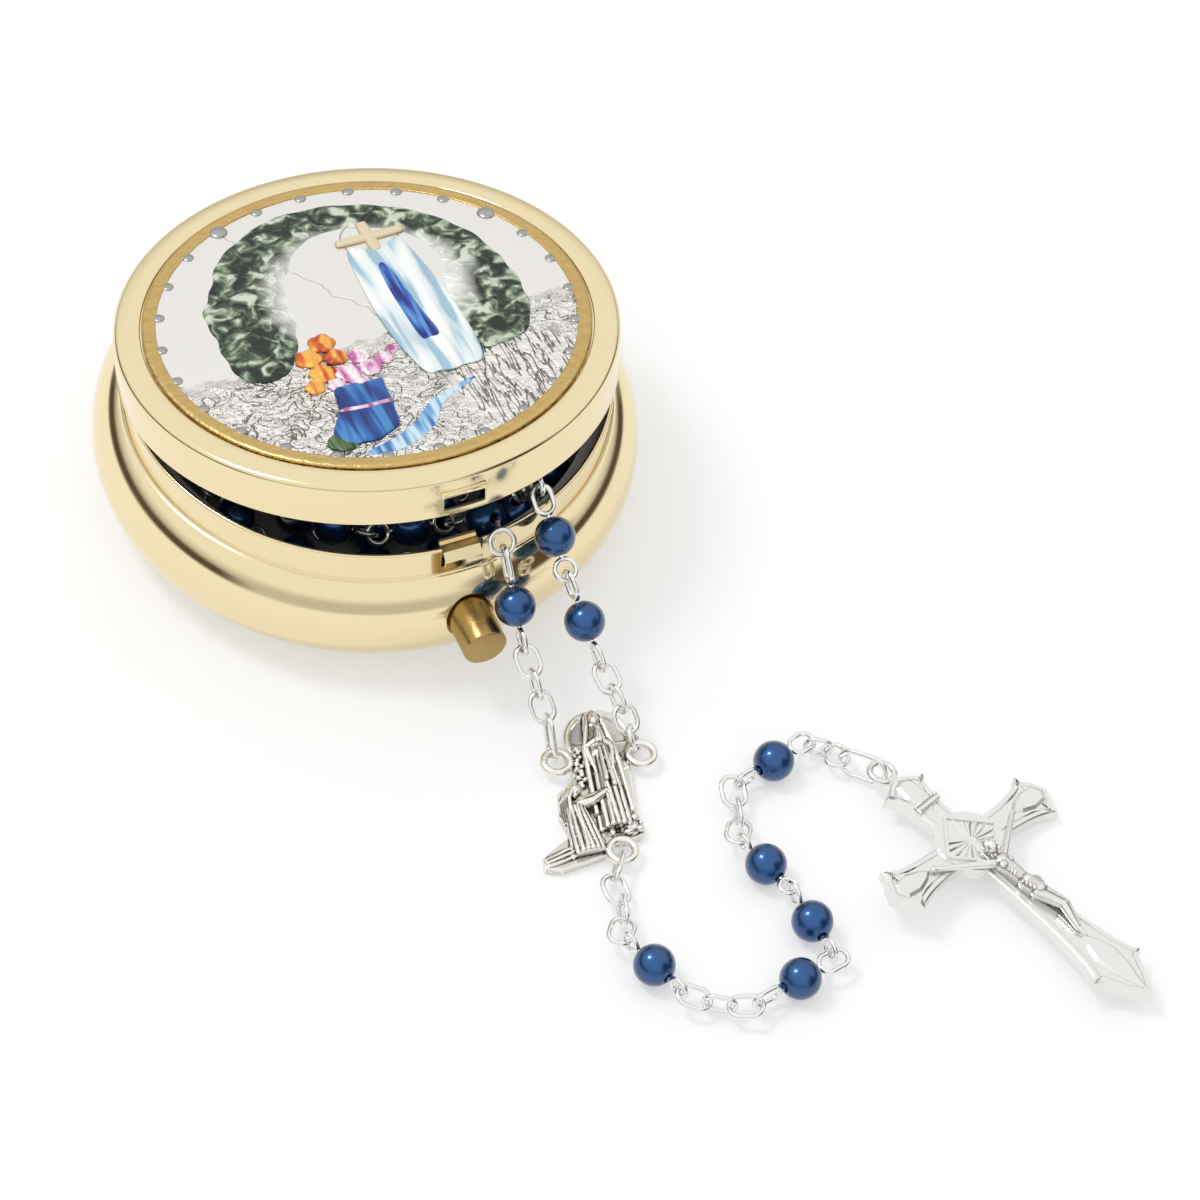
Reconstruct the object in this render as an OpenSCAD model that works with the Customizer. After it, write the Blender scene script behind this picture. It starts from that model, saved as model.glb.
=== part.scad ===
// Round brass rosary box with a hinged picture lid and a push-button catch,
// and the string of beads that it holds. Millimetres, Z up.
// The origin is on the bowl's axis where it stands on the table. The button
// and catch are towards -Y, the hinge towards +Y. The lid stands ajar.

/* [Bowl] */
// Radius of the flat foot
foot_r = 20; // [18:0.5:21]
// Largest radius, at the belly
belly_r = 27.3; // [26.8:0.1:28.5]
// Height of the belly's widest line
belly_z = 6.75; // [6:0.25:7.5]
// Height of the neck, on which the collar stands
neck_z = 12; // [11.5:0.25:13]
// Radius at which the round shoulder starts to turn in
shoulder_r = 22.5; // [22:0.1:23]
// Thickness of the bowl's sheet
bowl_wall = 0.5; // [0.4:0.1:0.6]

/* [Collar] */
// Outer radius of the collar
collar_r = 24.3; // [24:0.1:24.6]
// Height of the collar above the neck
collar_h = 3.6; // [3.2:0.1:4.2]
// Thickness of the collar's sheet
collar_wall = 0.5; // [0.4:0.1:0.6]
// Depth of the sleeve that goes down into the bowl
sleeve_h = 1.4; // [1:0.1:1.8]
// Height of the ledge inside the collar above the neck
ledge_h = 0.6; // [0.4:0.1:0.8]

/* [Liner] */
// Gap between the sleeve and the liner's wall
liner_gap = 0.7; // [0.6:0.1:0.9]
// Thickness of the liner
liner_wall = 0.4; // [0.3:0.1:0.5]
// Height of the liner's underside
liner_z = 1.2; // [1.15:0.05:1.4]

/* [Lid] */
// Running gap between the collar and the lid's skirt
lid_gap = 0.15; // [0.1:0.05:0.2]
// Thickness of the lid's skirt
skirt_wall = 0.3; // [0.25:0.05:0.4]
// Height of the skirt, from its edge to the lid's top
skirt_h = 4.6; // [4.4:0.1:4.8]
// Height of the shut lid's top above the collar's rim
lid_over = 1.6; // [1.5:0.1:1.9]
// Thickness of the lid's top sheet
lid_sheet = 0.4; // [0.3:0.05:0.45]
// Radius of the rounded top edge
lid_edge = 0.5; // [0.3:0.1:0.6]
// Angle at which the lid stands open
lid_ajar = 9; // [7:1:12]
// Thickness of the disc that lines the lid
lining_t = 0.3; // [0.2:0.05:0.35]

/* [Picture] */
// Radius of the picture plate
picture_r = 20.8; // [20:0.1:21]
// Thickness of the picture plate
picture_t = 0.5; // [0.4:0.05:0.6]
// Depth of the seat below the lid's top
seat_d = 0.35; // [0.3:0.05:0.4]
// Width of the bezel around the picture
bezel_w = 1.15; // [1:0.05:1.2]
// Height of the bezel's lip above the lid's top
bezel_h = 0.3; // [0.25:0.05:0.4]
// Width of the groove around the bezel
groove_w = 0.15; // [0.1:0.05:0.2]

/* [Hinge] */
// Distance of the hinge pin from the collar
hinge_out = 1.2; // [1.15:0.05:1.4]
// Height of the hinge pin above the neck
hinge_up = 0.6; // [0.5:0.05:0.8]
// Radius of the hinge pin
hinge_pin_r = 0.4; // [0.3:0.05:0.45]
// Radius of the rolled knuckles
knuckle_r = 0.9; // [0.8:0.05:0.95]
// Length of the hinge along its pin
hinge_w = 9.8; // [8:0.2:12]
// Length of the lid's knuckle
lid_knuckle_w = 3.4; // [3:0.1:4]
// Thickness of the hinge leaves
hinge_leaf = 0.25; // [0.2:0.05:0.3]

/* [Button and catch] */
// Radius of the push button
button_r = 2.2; // [2:0.1:2.4]
// Height of the button's axis
button_z = 7.9; // [7.5:0.1:8.2]
// Length of the button outside the belly
button_out = 4; // [3:0.25:5]
// Way that the button is pressed in
button_travel = 0.8; // [0.6:0.05:0.8]
// Radius of the button's stem
stem_r = 1; // [0.8:0.1:1.2]
// Width of the catch spring
catch_w = 3.8; // [3.4:0.1:4]
// Thickness of the catch spring
catch_t = 0.3; // [0.25:0.05:0.35]
// Height of the catch's nose
nose_h = 1.6; // [1.2:0.1:1.7]
// Reach of the nose beyond the collar
nose_reach = 0.6; // [0.5:0.05:0.7]
// Radius of the rivets at the spring's foot
rivet_r = 0.5; // [0.4:0.05:0.6]

/* [Beads and chain] */
// Radius of a bead
bead_r = 2; // [1.8:0.05:2]
// Radius of the hole through a bead
bead_hole_r = 0.5; // [0.4:0.05:0.6]
// Radius of the silver wire
wire_r = 0.26; // [0.2:0.01:0.28]
// Width of a chain link between its wires' centres
link_w = 2.2; // [2:0.1:2.3]
// Width of an eye between its wires' centres
eye_w = 1.9; // [1.7:0.1:2]
// Width of a jump ring between its wires' centres
ring_w = 2.8; // [2.6:0.1:3]
// Number of beads stored in the bowl
stored_count = 49; // [20:1:49]

/* [Medal and cross] */
// Radius of the medal's rings at the wire's centre
medal_ring_r = 1.25; // [1.15:0.05:1.35]
// Radius of the wire of the medal's rings
medal_wire_r = 0.4; // [0.3:0.05:0.42]
// Height of the medal's rings above the table
medal_ring_z = 1.35; // [1.3:0.05:1.5]
// Thickness of the medal's back plate
medal_t = 1; // [0.8:0.1:1.2]
// Length of the cross from its centre to the foot's tip
cross_foot = 23; // [20:0.5:25]
// Length of the cross from its centre to the tip of an arm
cross_arm = 11.4; // [10.5:0.1:12]
// Length of the cross from its centre to the tip of its head
cross_head = 10; // [9.5:0.1:10.5]
// Width of the cross's beams
beam_w = 3; // [2.6:0.1:3.4]
// Thickness of the cross
cross_t = 1.3; // [1.1:0.1:1.6]
// Side of the rayed plate at the crossing
rayed_w = 5.2; // [4.6:0.1:5.6]

/* [Hidden] */
$fn = 64;
eps = 0.01;

// Colours
brass = "#E5D3A0";
rough_brass = "#C9A75A";
dark_brass = "#B8963E";
grey = "#8C8C8E";
silver = "#DCDCDC";
old_silver = "#C8C6C0";
bead_blue = "#24569A";

// Heights and radii that follow from the sizes above
rim_z = neck_z + collar_h;
lid_r = collar_r + lid_gap + skirt_wall;
lid_z = rim_z + lid_over;
skirt_z = lid_z - skirt_h;
sleeve_r = collar_r - collar_wall;
sleeve_in_r = sleeve_r - collar_wall;
liner_r = sleeve_in_r - liner_gap;
liner_in_r = liner_r - liner_wall;
ledge_z = neck_z + ledge_h;
bezel_r = picture_r + bezel_w;
flange_r = bezel_r + groove_w;
seat_r = picture_r - 1.2;
seat_z = lid_z - seat_d;
hinge_y = collar_r + hinge_out;
hinge_z = neck_z + hinge_up;
fit = 0.05;
slack = 0.08;
eye_slack = 0.18;

// The catch spring stands just inside the sleeve and bends at its foot
leaf_y = sleeve_in_r - 0.3;
foot_top = bowl_wall + catch_t + 0.85;
leaf_z = foot_top + 0.05;
leaf_top = rim_z - 0.2;
nose_z = leaf_top - 0.3 - nose_h;
nose_y = collar_r + lid_gap + skirt_wall / 2 + nose_reach - 0.35;
pivot_y = leaf_y - catch_t / 2;

// Radius of the bowl's outside at a height above the belly
function belly_at(z) =
    shoulder_r + (belly_r - shoulder_r) * sqrt(1 - pow((z - belly_z) / shoulder_b(0), 2));

// Rise of the shoulder's ellipse above the belly, in by a distance
land_r = collar_r + 0.2;
land_a = acos((land_r - shoulder_r) / (belly_r - shoulder_r));
function shoulder_b(inset) = (neck_z - belly_z) / sin(land_a) - inset;

// Points on an ellipse about [x, z], from one angle to another
function ellipse(x, z, a, b, from, to, steps = 14) =
    [for (i = [0:steps]) let (t = from + (to - from) * i / steps)
        [x + a * cos(t), z + b * sin(t)]];

// The bowl's round wall from its foot to an angle on its shoulder
function bowl_curve(inset, to) = concat(
    ellipse(foot_r, belly_z, belly_r - foot_r - inset, belly_z - inset, -90, 0),
    ellipse(shoulder_r, belly_z, belly_r - shoulder_r - inset,
            shoulder_b(inset), 4, to));

function reversed(list) = [for (i = [len(list) - 1:-1:0]) list[i]];

inner_a = acos((sleeve_r - shoulder_r) / (belly_r - shoulder_r - bowl_wall));

/* Chain geometry: pieces lie between the points where their wires touch */

// A point that hangs outside the front of the rim: x, distance out, height
// as a share of the rim's height
function hung(x, out, share) = [x, -(collar_r + out), share * rim_z];

// The unit vector from one point to another
function towards(p, q) = (q - p) / norm(q - p);

// Where a link from p takes hold of a thicker wire whose centre is at c
function hook(p, c, wire) = c + (wire + slack) * towards(p, c);

// Medal: middle of its two side rings, and its turn on the table
medal_at = [7.4, -(collar_r + 18.3), 0];
medal_turn = -13.4;
side_ring_x = 4.15;
medal_foot_ring = [0.3, -10.9];

// Start of the piece that follows point i at a bend, where one of the two
// rings lies in the plane of the bend (side 1: the ring before the point,
// side -1: the ring after it) and so holds the other ring off its own end
function bent(pts, i, side, w) = pts[i] + side * (w / 2 - wire_r - slack)
    * (towards(pts[i], pts[i + 1]) - towards(pts[i - 1], pts[i]));

// Middle of a ring of the medal, from its place on the medal
function on_medal(x, y) = medal_at + [
    x * cos(medal_turn) - y * sin(medal_turn),
    x * sin(medal_turn) + y * cos(medal_turn), medal_ring_z];

// Left strand, from the loop that hangs over the rim to the medal
left_over = [4, -(collar_r - 1.2), rim_z + wire_r + 0.15];
left_crest = [3.8, -(collar_r - 0.25), rim_z + wire_r + 0.2];
left_loop_r = 1.2;
loop_way = [0, -sqrt(0.5), -sqrt(0.5)];
left_loop = left_crest + left_loop_r * loop_way;
left_end = hung(3.5, 14, 0.26);
left_pts = [
    left_loop + (left_loop_r - wire_r - slack) * loop_way,
    hung(3.3, 8.4, 0.52), hung(3.3, 10.55, 0.45), hung(3.35, 12.2, 0.352), left_end,
    hook(left_end, on_medal(-side_ring_x, 0) + [0.05, medal_ring_r, 0], medal_wire_r)
];

// Right strand, from the eye over the rim to the medal
right_end = hung(10.95, 17.3, 0.192);
right_pts = [
    hung(9.1, -2.9, 1.08), hung(9.3, 4.3, 0.77), hung(10.1, 11.7, 0.417),
    hung(10.4, 13.85, 0.353), hung(10.75, 15.6, 0.276), right_end,
    hook(right_end, on_medal(side_ring_x, 0) + [0, medal_ring_r, 0], medal_wire_r)
];

// Stored string: a flat coil on the liner's floor, wound inwards, and a
// second coil on top of it, wound outwards again
coil_z = liner_z + liner_wall + bead_r;
coil_rise = 2 * bead_r + 0.1;
coil_out_r = liner_in_r - bead_r - 0.4;
coil_in_r = 6.9;
coil_end_r = coil_out_r - 4.4;
coil_pitch = 4.2;
coil_start = -65.8;
coil_finish = 640.5;
coil_turns = (coil_out_r - coil_in_r) / coil_pitch;
coil_mid = coil_start + 360 * coil_turns;
upper_pitch = 360 * (coil_end_r - coil_in_r)
    / (coil_finish + coil_start + 65.8 + 360 * 3 - coil_mid);
lower_len = PI * (pow(coil_out_r, 2) - pow(coil_in_r, 2)) / coil_pitch;
upper_len = PI * (pow(coil_end_r, 2) - pow(coil_in_r, 2)) / upper_pitch;
coil_step = (lower_len + upper_len) / 49;
rise_len = 16;

// Point on the coil at a distance along the string
function coil_point(s) =
    let (low = s < lower_len,
         d = low ? s : s - lower_len,
         r = low ? sqrt(pow(coil_out_r, 2) - d * coil_pitch / PI)
                 : sqrt(pow(coil_in_r, 2) + d * upper_pitch / PI),
         a = low ? coil_start + 360 * (coil_out_r - r) / coil_pitch
                 : coil_mid + 360 * (r - coil_in_r) / upper_pitch,
         t = low ? 0 : min(1, d / rise_len))
    [r * cos(a), r * sin(a), coil_z + coil_rise * t * t * (3 - 2 * t)];

// Inside the bowl, from the rim down to the two ends of the stored string
left_in = [
    [3.7, -16.6, 9.3], coil_point(coil_step * stored_count) + [0.3, 0.3, -0.2]
];
left_bead_at = [4.5, -19.55, 12.3];
right_in = [
    right_pts[0] + [0, 0, 0.85], [8.95, -19.4, 16], [8.5, -18.1, 13.9],
    [7.8, -17.9, 5.6], coil_point(0) + [-0.3, 0.3, -0.2]
];

// Cross: its centre, its turn on the table and its tilt on its side
cross_turn = 21;
cross_tilt = 8;
cross_ring_r = 1.2;
cross_wire_r = 0.35;
cross_at = [36, -64.9, (cross_arm - 0.3) * sin(cross_tilt) + 0.05];
cross_ring_y = cross_head + 1.4;
cross_ring_at = cross_at + [
    -cross_ring_y * sin(cross_turn), cross_ring_y * cos(cross_turn),
    cross_t / 2];

// Pendant chain on the table, from the medal's foot ring to the cross
foot_ring_at = on_medal(medal_foot_ring[0], medal_foot_ring[1]);
foot_ring_way = towards(foot_ring_at, [3.1, -56.1, medal_ring_z]);
pendant_pts = [
    foot_ring_at + (medal_ring_r - medal_wire_r - slack) * foot_ring_way,
    [3.1, -56.1, 1.45], [2.7, -58.5, 1.4], [2.1, -60.8, 1.5],
    [0.5, -62.8, 2], [3.8, -70, 2], [5.6, -71.6, 1.6], [7.6, -72.9, 1.6],
    [9.8, -74, 2], [19.4, -71.7, 2], [18.1, -63.2, 2], [16, -56.5, 2],
    [16.9, -54.5, 1.6], [17.5, -52.2, 1.5], [18, -49.8, 2], [27.1, -48, 2],
    [28.6, -49.4, 1.5], [28.9, -51.5, 1.7], cross_ring_at + [0.07, -0.07, 0]
];

/* Parts of the box */

module base_bowl() color(brass)
difference() {
    rotate_extrude($fn = 128) polygon(concat(
        [[0, 0]],
        bowl_curve(0, land_a),
        [[sleeve_r, neck_z]],
        reversed(bowl_curve(bowl_wall, inner_a)),
        [[0, bowl_wall]]));
    along_button(belly_r - 6, belly_r + 2, button_r + 0.25);
    rivet_places() translate([0, 0, -1]) cylinder(r = rivet_r, h = 3);
}

module collar_ring() color(brass)
difference() {
    rotate_extrude($fn = 128) polygon([
        [sleeve_in_r, neck_z - sleeve_h], [sleeve_r, neck_z - sleeve_h],
        [sleeve_r, neck_z], [collar_r, neck_z],
        [collar_r, rim_z - 0.1], [collar_r - 0.1, rim_z],
        [sleeve_r, rim_z], [sleeve_r, ledge_z], [sleeve_in_r, ledge_z]]);
    // window for the catch's nose
    translate([-catch_w / 2 - 0.2, -collar_r - 1, nose_z - 0.4])
        cube([catch_w + 0.4, 3, 5]);
}

module bowl_liner() color(grey)
difference() {
    rotate_extrude($fn = 128) polygon([
        [0, liner_z], [liner_r - 0.8, liner_z], [liner_r, liner_z + 0.8],
        [liner_r, ledge_z], [sleeve_r - fit, ledge_z],
        [sleeve_r - fit, ledge_z + liner_wall],
        [liner_in_r, ledge_z + liner_wall],
        [liner_in_r, liner_z + liner_wall + 0.5],
        [liner_in_r - 0.5, liner_z + liner_wall], [0, liner_z + liner_wall]]);
    // slot that leaves room for the catch spring
    translate([-catch_w / 2 - 0.4, -collar_r - 1, liner_z - 1])
        cube([catch_w + 0.8, 4.4, 20]);
}

// A cylinder along the button's axis, between two distances from the middle
module along_button(from, to, r) {
    translate([0, -from, button_z]) rotate([90, 0, 0]) cylinder(r = r, h = to - from);
}

// The bush is soldered to the inside of the wall and guides the button
bush_y = 24.9;
bush_len = belly_at(button_z) - bush_y;
module button_bush() color(dark_brass)
difference() {
    intersection() {
        along_button(bush_y, belly_r + 1, button_r + 0.8);
        rotate_extrude($fn = 128) polygon(concat(
            [[0, bowl_wall]], bowl_curve(bowl_wall, inner_a), [[0, neck_z]]));
    }
    along_button(bush_y - 1, belly_r + 2, button_r + fit);
}

// Button, the shoulder that keeps it in, and the stem that pushes the spring
stem_y = leaf_y + fit;
module push_button() color(dark_brass) {
    along_button(bush_y - 0.05, belly_at(button_z) + button_out, button_r);
    along_button(bush_y - 0.5, bush_y - 0.05, button_r + 0.4);
    along_button(stem_y + 0.3, bush_y - 0.4, stem_r);
    along_button(stem_y, stem_y + 0.4, stem_r * 0.7);
}

module rivet_places() {
    for (y = [1.1, 3.3]) translate([0, y - foot_r, 0]) children();
}

// Foot of the catch spring, riveted to the bowl's floor under the liner. It
// rises towards the wall, where the upright leaf stands on its end.
module catch_foot() color(dark_brass)
difference() {
    translate([-catch_w / 2, 0, 0]) rotate([90, 0, 90])
        linear_extrude(catch_w) polygon([
            [4.6 - foot_r, bowl_wall], [4.6 - foot_r, bowl_wall + catch_t],
            [0.2 - foot_r, bowl_wall + catch_t], [-leaf_y, foot_top],
            [-leaf_y, foot_top - catch_t], [0.1 - foot_r, bowl_wall]]);
    rivet_places() cylinder(r = rivet_r, h = 3);
}

module catch_rivets() color(brass)
rivet_places() {
    cylinder(r = rivet_r, h = bowl_wall + catch_t);
    translate([0, 0, bowl_wall + catch_t]) cylinder(r = rivet_r + 0.3, h = 0.25);
}

// Upright leaf of the catch spring with the nose that holds the lid
module catch_leaf() color(brass) {
    translate([-catch_w / 2, -leaf_y, leaf_z])
        cube([catch_w, catch_t, leaf_top - leaf_z]);
    translate([-catch_w / 2, 0, 0]) rotate([90, 0, 90])
        linear_extrude(catch_w) polygon([
            [-leaf_y + 0.1, nose_z], [-nose_y, nose_z],
            [-nose_y, nose_z + nose_h * 0.45],
            [-nose_y + 0.8, nose_z + nose_h * 0.9],
            [-leaf_y - 0.4, nose_z + nose_h],
            [-leaf_y + 0.1, nose_z + nose_h]]);
}

// A cylinder along the hinge pin, between two places on it
module along_hinge(from, to, r) {
    translate([from, hinge_y, hinge_z]) rotate([0, 90, 0]) cylinder(r = r, h = to - from);
}

// A band of a ring about the bowl's axis, at the hinge
module hinge_band(in_r, t, z0, z1, w) {
    intersection() {
        translate([0, 0, z0]) difference() {
            cylinder(r = in_r + t, h = z1 - z0, $fn = 128);
            translate([0, 0, -1]) cylinder(r = in_r, h = z1 - z0 + 2, $fn = 128);
        }
        translate([-w / 2, 0, z0 - 1]) cube([w, 2 * collar_r, z1 - z0 + 2]);
    }
}

knuckle_gap = 0.15;
module hinge_base_leaf() color(brass)
difference() {
    union() {
        hinge_band(collar_r, hinge_leaf, neck_z + 0.05, hinge_z + knuckle_r, hinge_w);
        for (side = [-1, 1]) {
            inner = lid_knuckle_w / 2 + knuckle_gap;
            middle = side * (inner + hinge_w / 2) / 2;
            long = hinge_w / 2 - inner;
            along_hinge(middle - long / 2, middle + long / 2, knuckle_r);
            translate([middle - long / 2, collar_r - 0.6, hinge_z - 0.25])
                cube([long, hinge_out + 0.6, 0.5]);
        }
    }
    cylinder(r = collar_r, h = 30, $fn = 128);
    along_hinge(-hinge_w, hinge_w, hinge_pin_r);
}

module hinge_pin() color(dark_brass)
along_hinge(-hinge_w / 2, hinge_w / 2, hinge_pin_r);

/* Parts of the lid, built shut and turned up about the hinge */

module ajar() {
    translate([0, hinge_y, hinge_z]) rotate([-lid_ajar, 0, 0])
        translate([0, -hinge_y, -hinge_z]) children();
}

notch_z = hinge_z + knuckle_r + 0.4;
lid_leaf_t = hinge_leaf + 0.1;
module hinge_lid_leaf() color(brass)
ajar() difference() {
    union() {
        hinge_band(lid_r, lid_leaf_t, notch_z + 0.05, lid_z - 0.6, hinge_w);
        along_hinge(-lid_knuckle_w / 2, lid_knuckle_w / 2, knuckle_r);
        translate([-lid_knuckle_w / 2, lid_r + 0.02, hinge_z])
            cube([lid_knuckle_w, lid_leaf_t - 0.05, notch_z - hinge_z + 0.5]);
    }
    along_hinge(-hinge_w, hinge_w, hinge_pin_r + fit);
}

module lid_frame() color(brass)
ajar() difference() {
    rotate_extrude($fn = 128) polygon(concat(
        [[lid_r - skirt_wall, skirt_z], [lid_r, skirt_z]],
        ellipse(lid_r - lid_edge, lid_z - lid_edge, lid_edge, lid_edge, 0, 90, 6),
        [[flange_r, lid_z], [flange_r, seat_z], [seat_r, seat_z],
         [seat_r, seat_z - lid_sheet], [flange_r + lid_sheet, seat_z - lid_sheet],
         [flange_r + lid_sheet, lid_z - lid_sheet],
         [lid_r - skirt_wall, lid_z - lid_sheet]]));
    // slot for the catch's nose
    translate([-catch_w / 2 - 0.2, -lid_r - 1, nose_z - 0.2])
        cube([catch_w + 0.4, 3, nose_h + 0.4]);
    // the skirt stops short of the hinge
    translate([-hinge_w / 2 - 0.3, 5, skirt_z - 1])
        cube([hinge_w + 0.6, lid_r, notch_z - skirt_z + 1]);
}

module lid_lining() color(grey)
ajar() translate([0, 0, seat_z - lid_sheet - lining_t])
cylinder(r = flange_r + lid_sheet, h = lining_t, $fn = 128);

module picture_bezel() color(rough_brass)
ajar() rotate_extrude($fn = 128) polygon([
    [picture_r, seat_z], [bezel_r, seat_z], [bezel_r, lid_z + 0.05],
    [bezel_r - bezel_w / 2, lid_z + bezel_h], [picture_r - 0.25, lid_z + bezel_h],
    [picture_r - 0.25, seat_z + picture_t], [picture_r, seat_z + picture_t]]);

module picture_plate() color(silver)
ajar() translate([0, 0, seat_z]) cylinder(r = picture_r, h = picture_t, $fn = 128);

/* Chain pieces */

// Places a piece from p towards q, with its own X axis between them
module from_to(p, q, roll) {
    d = q - p;
    flat = norm([d[0], d[1]]);
    translate(p) rotate([0, -atan2(d[2], flat), atan2(d[1], d[0])])
        rotate([roll, 0, 0]) children();
}

// Wire ring in its own XY plane, from x = a to x = b at the wire's centre:
// round where that is hardly longer than its width w, and oval otherwise
module oval(a, b, w, wire) {
    r = w / 2;
    if (b - a < w + 0.3)
        translate([(a + b) / 2, 0, 0]) rotate_extrude($fn = 48)
            translate([(b - a) / 2, 0]) circle(r = wire, $fn = 24);
    else {
        for (side = [0, 1])
            translate([side == 0 ? a + r : b - r, 0, 0])
                rotate([0, 0, side == 0 ? 90 : -90])
                rotate_extrude(angle = 180, $fn = 48)
                translate([r, 0]) circle(r = wire, $fn = 24);
        for (side = [-1, 1])
            translate([a + r - 0.05, side * r, 0]) rotate([0, 90, 0])
                cylinder(r = wire - 0.01, h = b - a - w + 0.1, $fn = 24);
    }
}

// Chain link whose ends pass through its neighbours' at p and q
module link(p, q, roll, w = link_w, wire = wire_r)
from_to(p, q, roll) oval(-wire - slack, norm(q - p) + wire + slack, w, wire);

// Links through a run of points, each turned against the one before
module links(pts, rolls) color(silver)
for (i = [0:len(rolls) - 1]) link(pts[i], pts[i + 1], rolls[i]);

// Bead on the pin from p to q, at a share of the way
module bead(p, q, share = 0.5) color(bead_blue)
from_to(p + share * (q - p), q, 0) rotate([0, 90, 0]) difference() {
    sphere(r = bead_r);
    translate([0, 0, -bead_r - 1]) cylinder(r = bead_hole_r, h = 2 * bead_r + 2, $fn = 32);
}

// Pin through a bead with an eye bent at each end
module eye_pin(p, q, share = 0.5, roll_p = 0, roll_q = 0) color(silver) {
    long = norm(q - p);
    start = bead_r + 0.3;
    stem = wire_r - 0.02;
    from_to(p, q, 0) {
        translate([share * long - start, 0, 0]) rotate([0, 90, 0])
            cylinder(r = stem, h = 2 * start, $fn = 24);
        rotate([roll_p, 0, 0])
            oval(-wire_r - eye_slack, share * long - start, eye_w, wire_r);
        rotate([roll_q, 0, 0])
            oval(share * long + start, long + wire_r + eye_slack, eye_w, wire_r);
    }
}

/* Stored part of the rosary */

module stored_beads()
for (i = [0:stored_count - 1])
    bead(coil_point(coil_step * i), coil_point(coil_step * (i + 1)));

module stored_pins()
for (i = [0:stored_count - 1]) {
    roll = i % 2 == 0 ? 45 : -45;
    eye_pin(coil_point(coil_step * i), coil_point(coil_step * (i + 1)),
            0.5, roll, roll);
}

/* Strands over the rim */

module left_inner_link() links(left_in, [0]);
module left_inner_bead() bead(left_in[0], 2 * left_bead_at - left_in[0]);

// The inner pin leaves its bead, crosses the rim and ends in a hanging loop
module left_inner_pin() color(silver) {
    far = norm(left_bead_at - left_in[0]);
    stem = wire_r - 0.02;
    start = bead_r + 0.3;
    left_out = left_bead_at + start * towards(left_in[0], left_bead_at);
    from_to(left_in[0], left_bead_at, 0) {
        translate([far - start, 0, 0]) rotate([0, 90, 0])
            cylinder(r = stem, h = 2 * start, $fn = 24);
        rotate([90, 0, 0]) oval(-wire_r - eye_slack, far - start, eye_w, wire_r);
    }
    for (leg = [[left_out, left_over], [left_over, left_crest]]) {
        from_to(leg[0], leg[1], 0) rotate([0, 90, 0])
            cylinder(r = stem, h = norm(leg[1] - leg[0]), $fn = 24);
        translate(leg[0]) sphere(r = wire_r, $fn = 24);
    }
    from_to(left_crest, left_loop, 0) translate([left_loop_r, 0, 0])
        rotate_extrude($fn = 48) translate([left_loop_r, 0]) circle(r = wire_r, $fn = 24);
}

module left_outer_bead() bead(left_pts[0], left_pts[1], 0.56);
module left_outer_pin() eye_pin(left_pts[0], left_pts[1], 0.56, 90, 90);
module left_chain_links()
links([for (i = [1:4]) left_pts[i]], [0, 90, 0]);
module left_jump_ring() color(silver)
link(bent(left_pts, 4, -1, 2.4), left_pts[5], 90, 2.4);

module right_rim_links() links([for (i = [0:2]) right_in[i]], [90, 0]);
module right_inner_link() color(silver) link(right_in[3], right_in[4], 0);
module right_inner_bead() bead(right_in[2], right_in[3]);
module right_inner_pin() eye_pin(right_in[2], right_in[3], 0.5, -35, 0);
module right_upper_bead() bead(right_pts[0], right_pts[1], 0.54);
module right_upper_pin() eye_pin(right_pts[0], right_pts[1], 0.54, 0, 0);
module right_lower_bead() bead(right_pts[1], right_pts[2]);
module right_lower_pin() eye_pin(right_pts[1], right_pts[2], 0.5, 90, 90);
module right_chain_links()
links([for (i = [2:5]) right_pts[i]], [0, 90, 0]);
module right_jump_ring() color(silver)
link(bent(right_pts, 5, -1, 2.3), right_pts[6], -15, 2.3);

/* Medal */

// Slab with round corners between two points of its plan
module lump(a, b, ra, rb, za, zb)
hull() {
    translate([a[0], a[1], za]) sphere(r = ra, $fn = 24);
    translate([b[0], b[1], zb]) sphere(r = rb, $fn = 24);
}

module medal_ring(x, y)
translate([x, y, medal_ring_z]) rotate_extrude($fn = 48)
translate([medal_ring_r, 0]) circle(r = medal_wire_r, $fn = 24);

module medal() color(old_silver)
translate(medal_at) rotate([0, 0, medal_turn]) difference() {
    medal_relief();
    translate([-12, -16, -5]) cube([24, 24, 5]);
}

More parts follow.
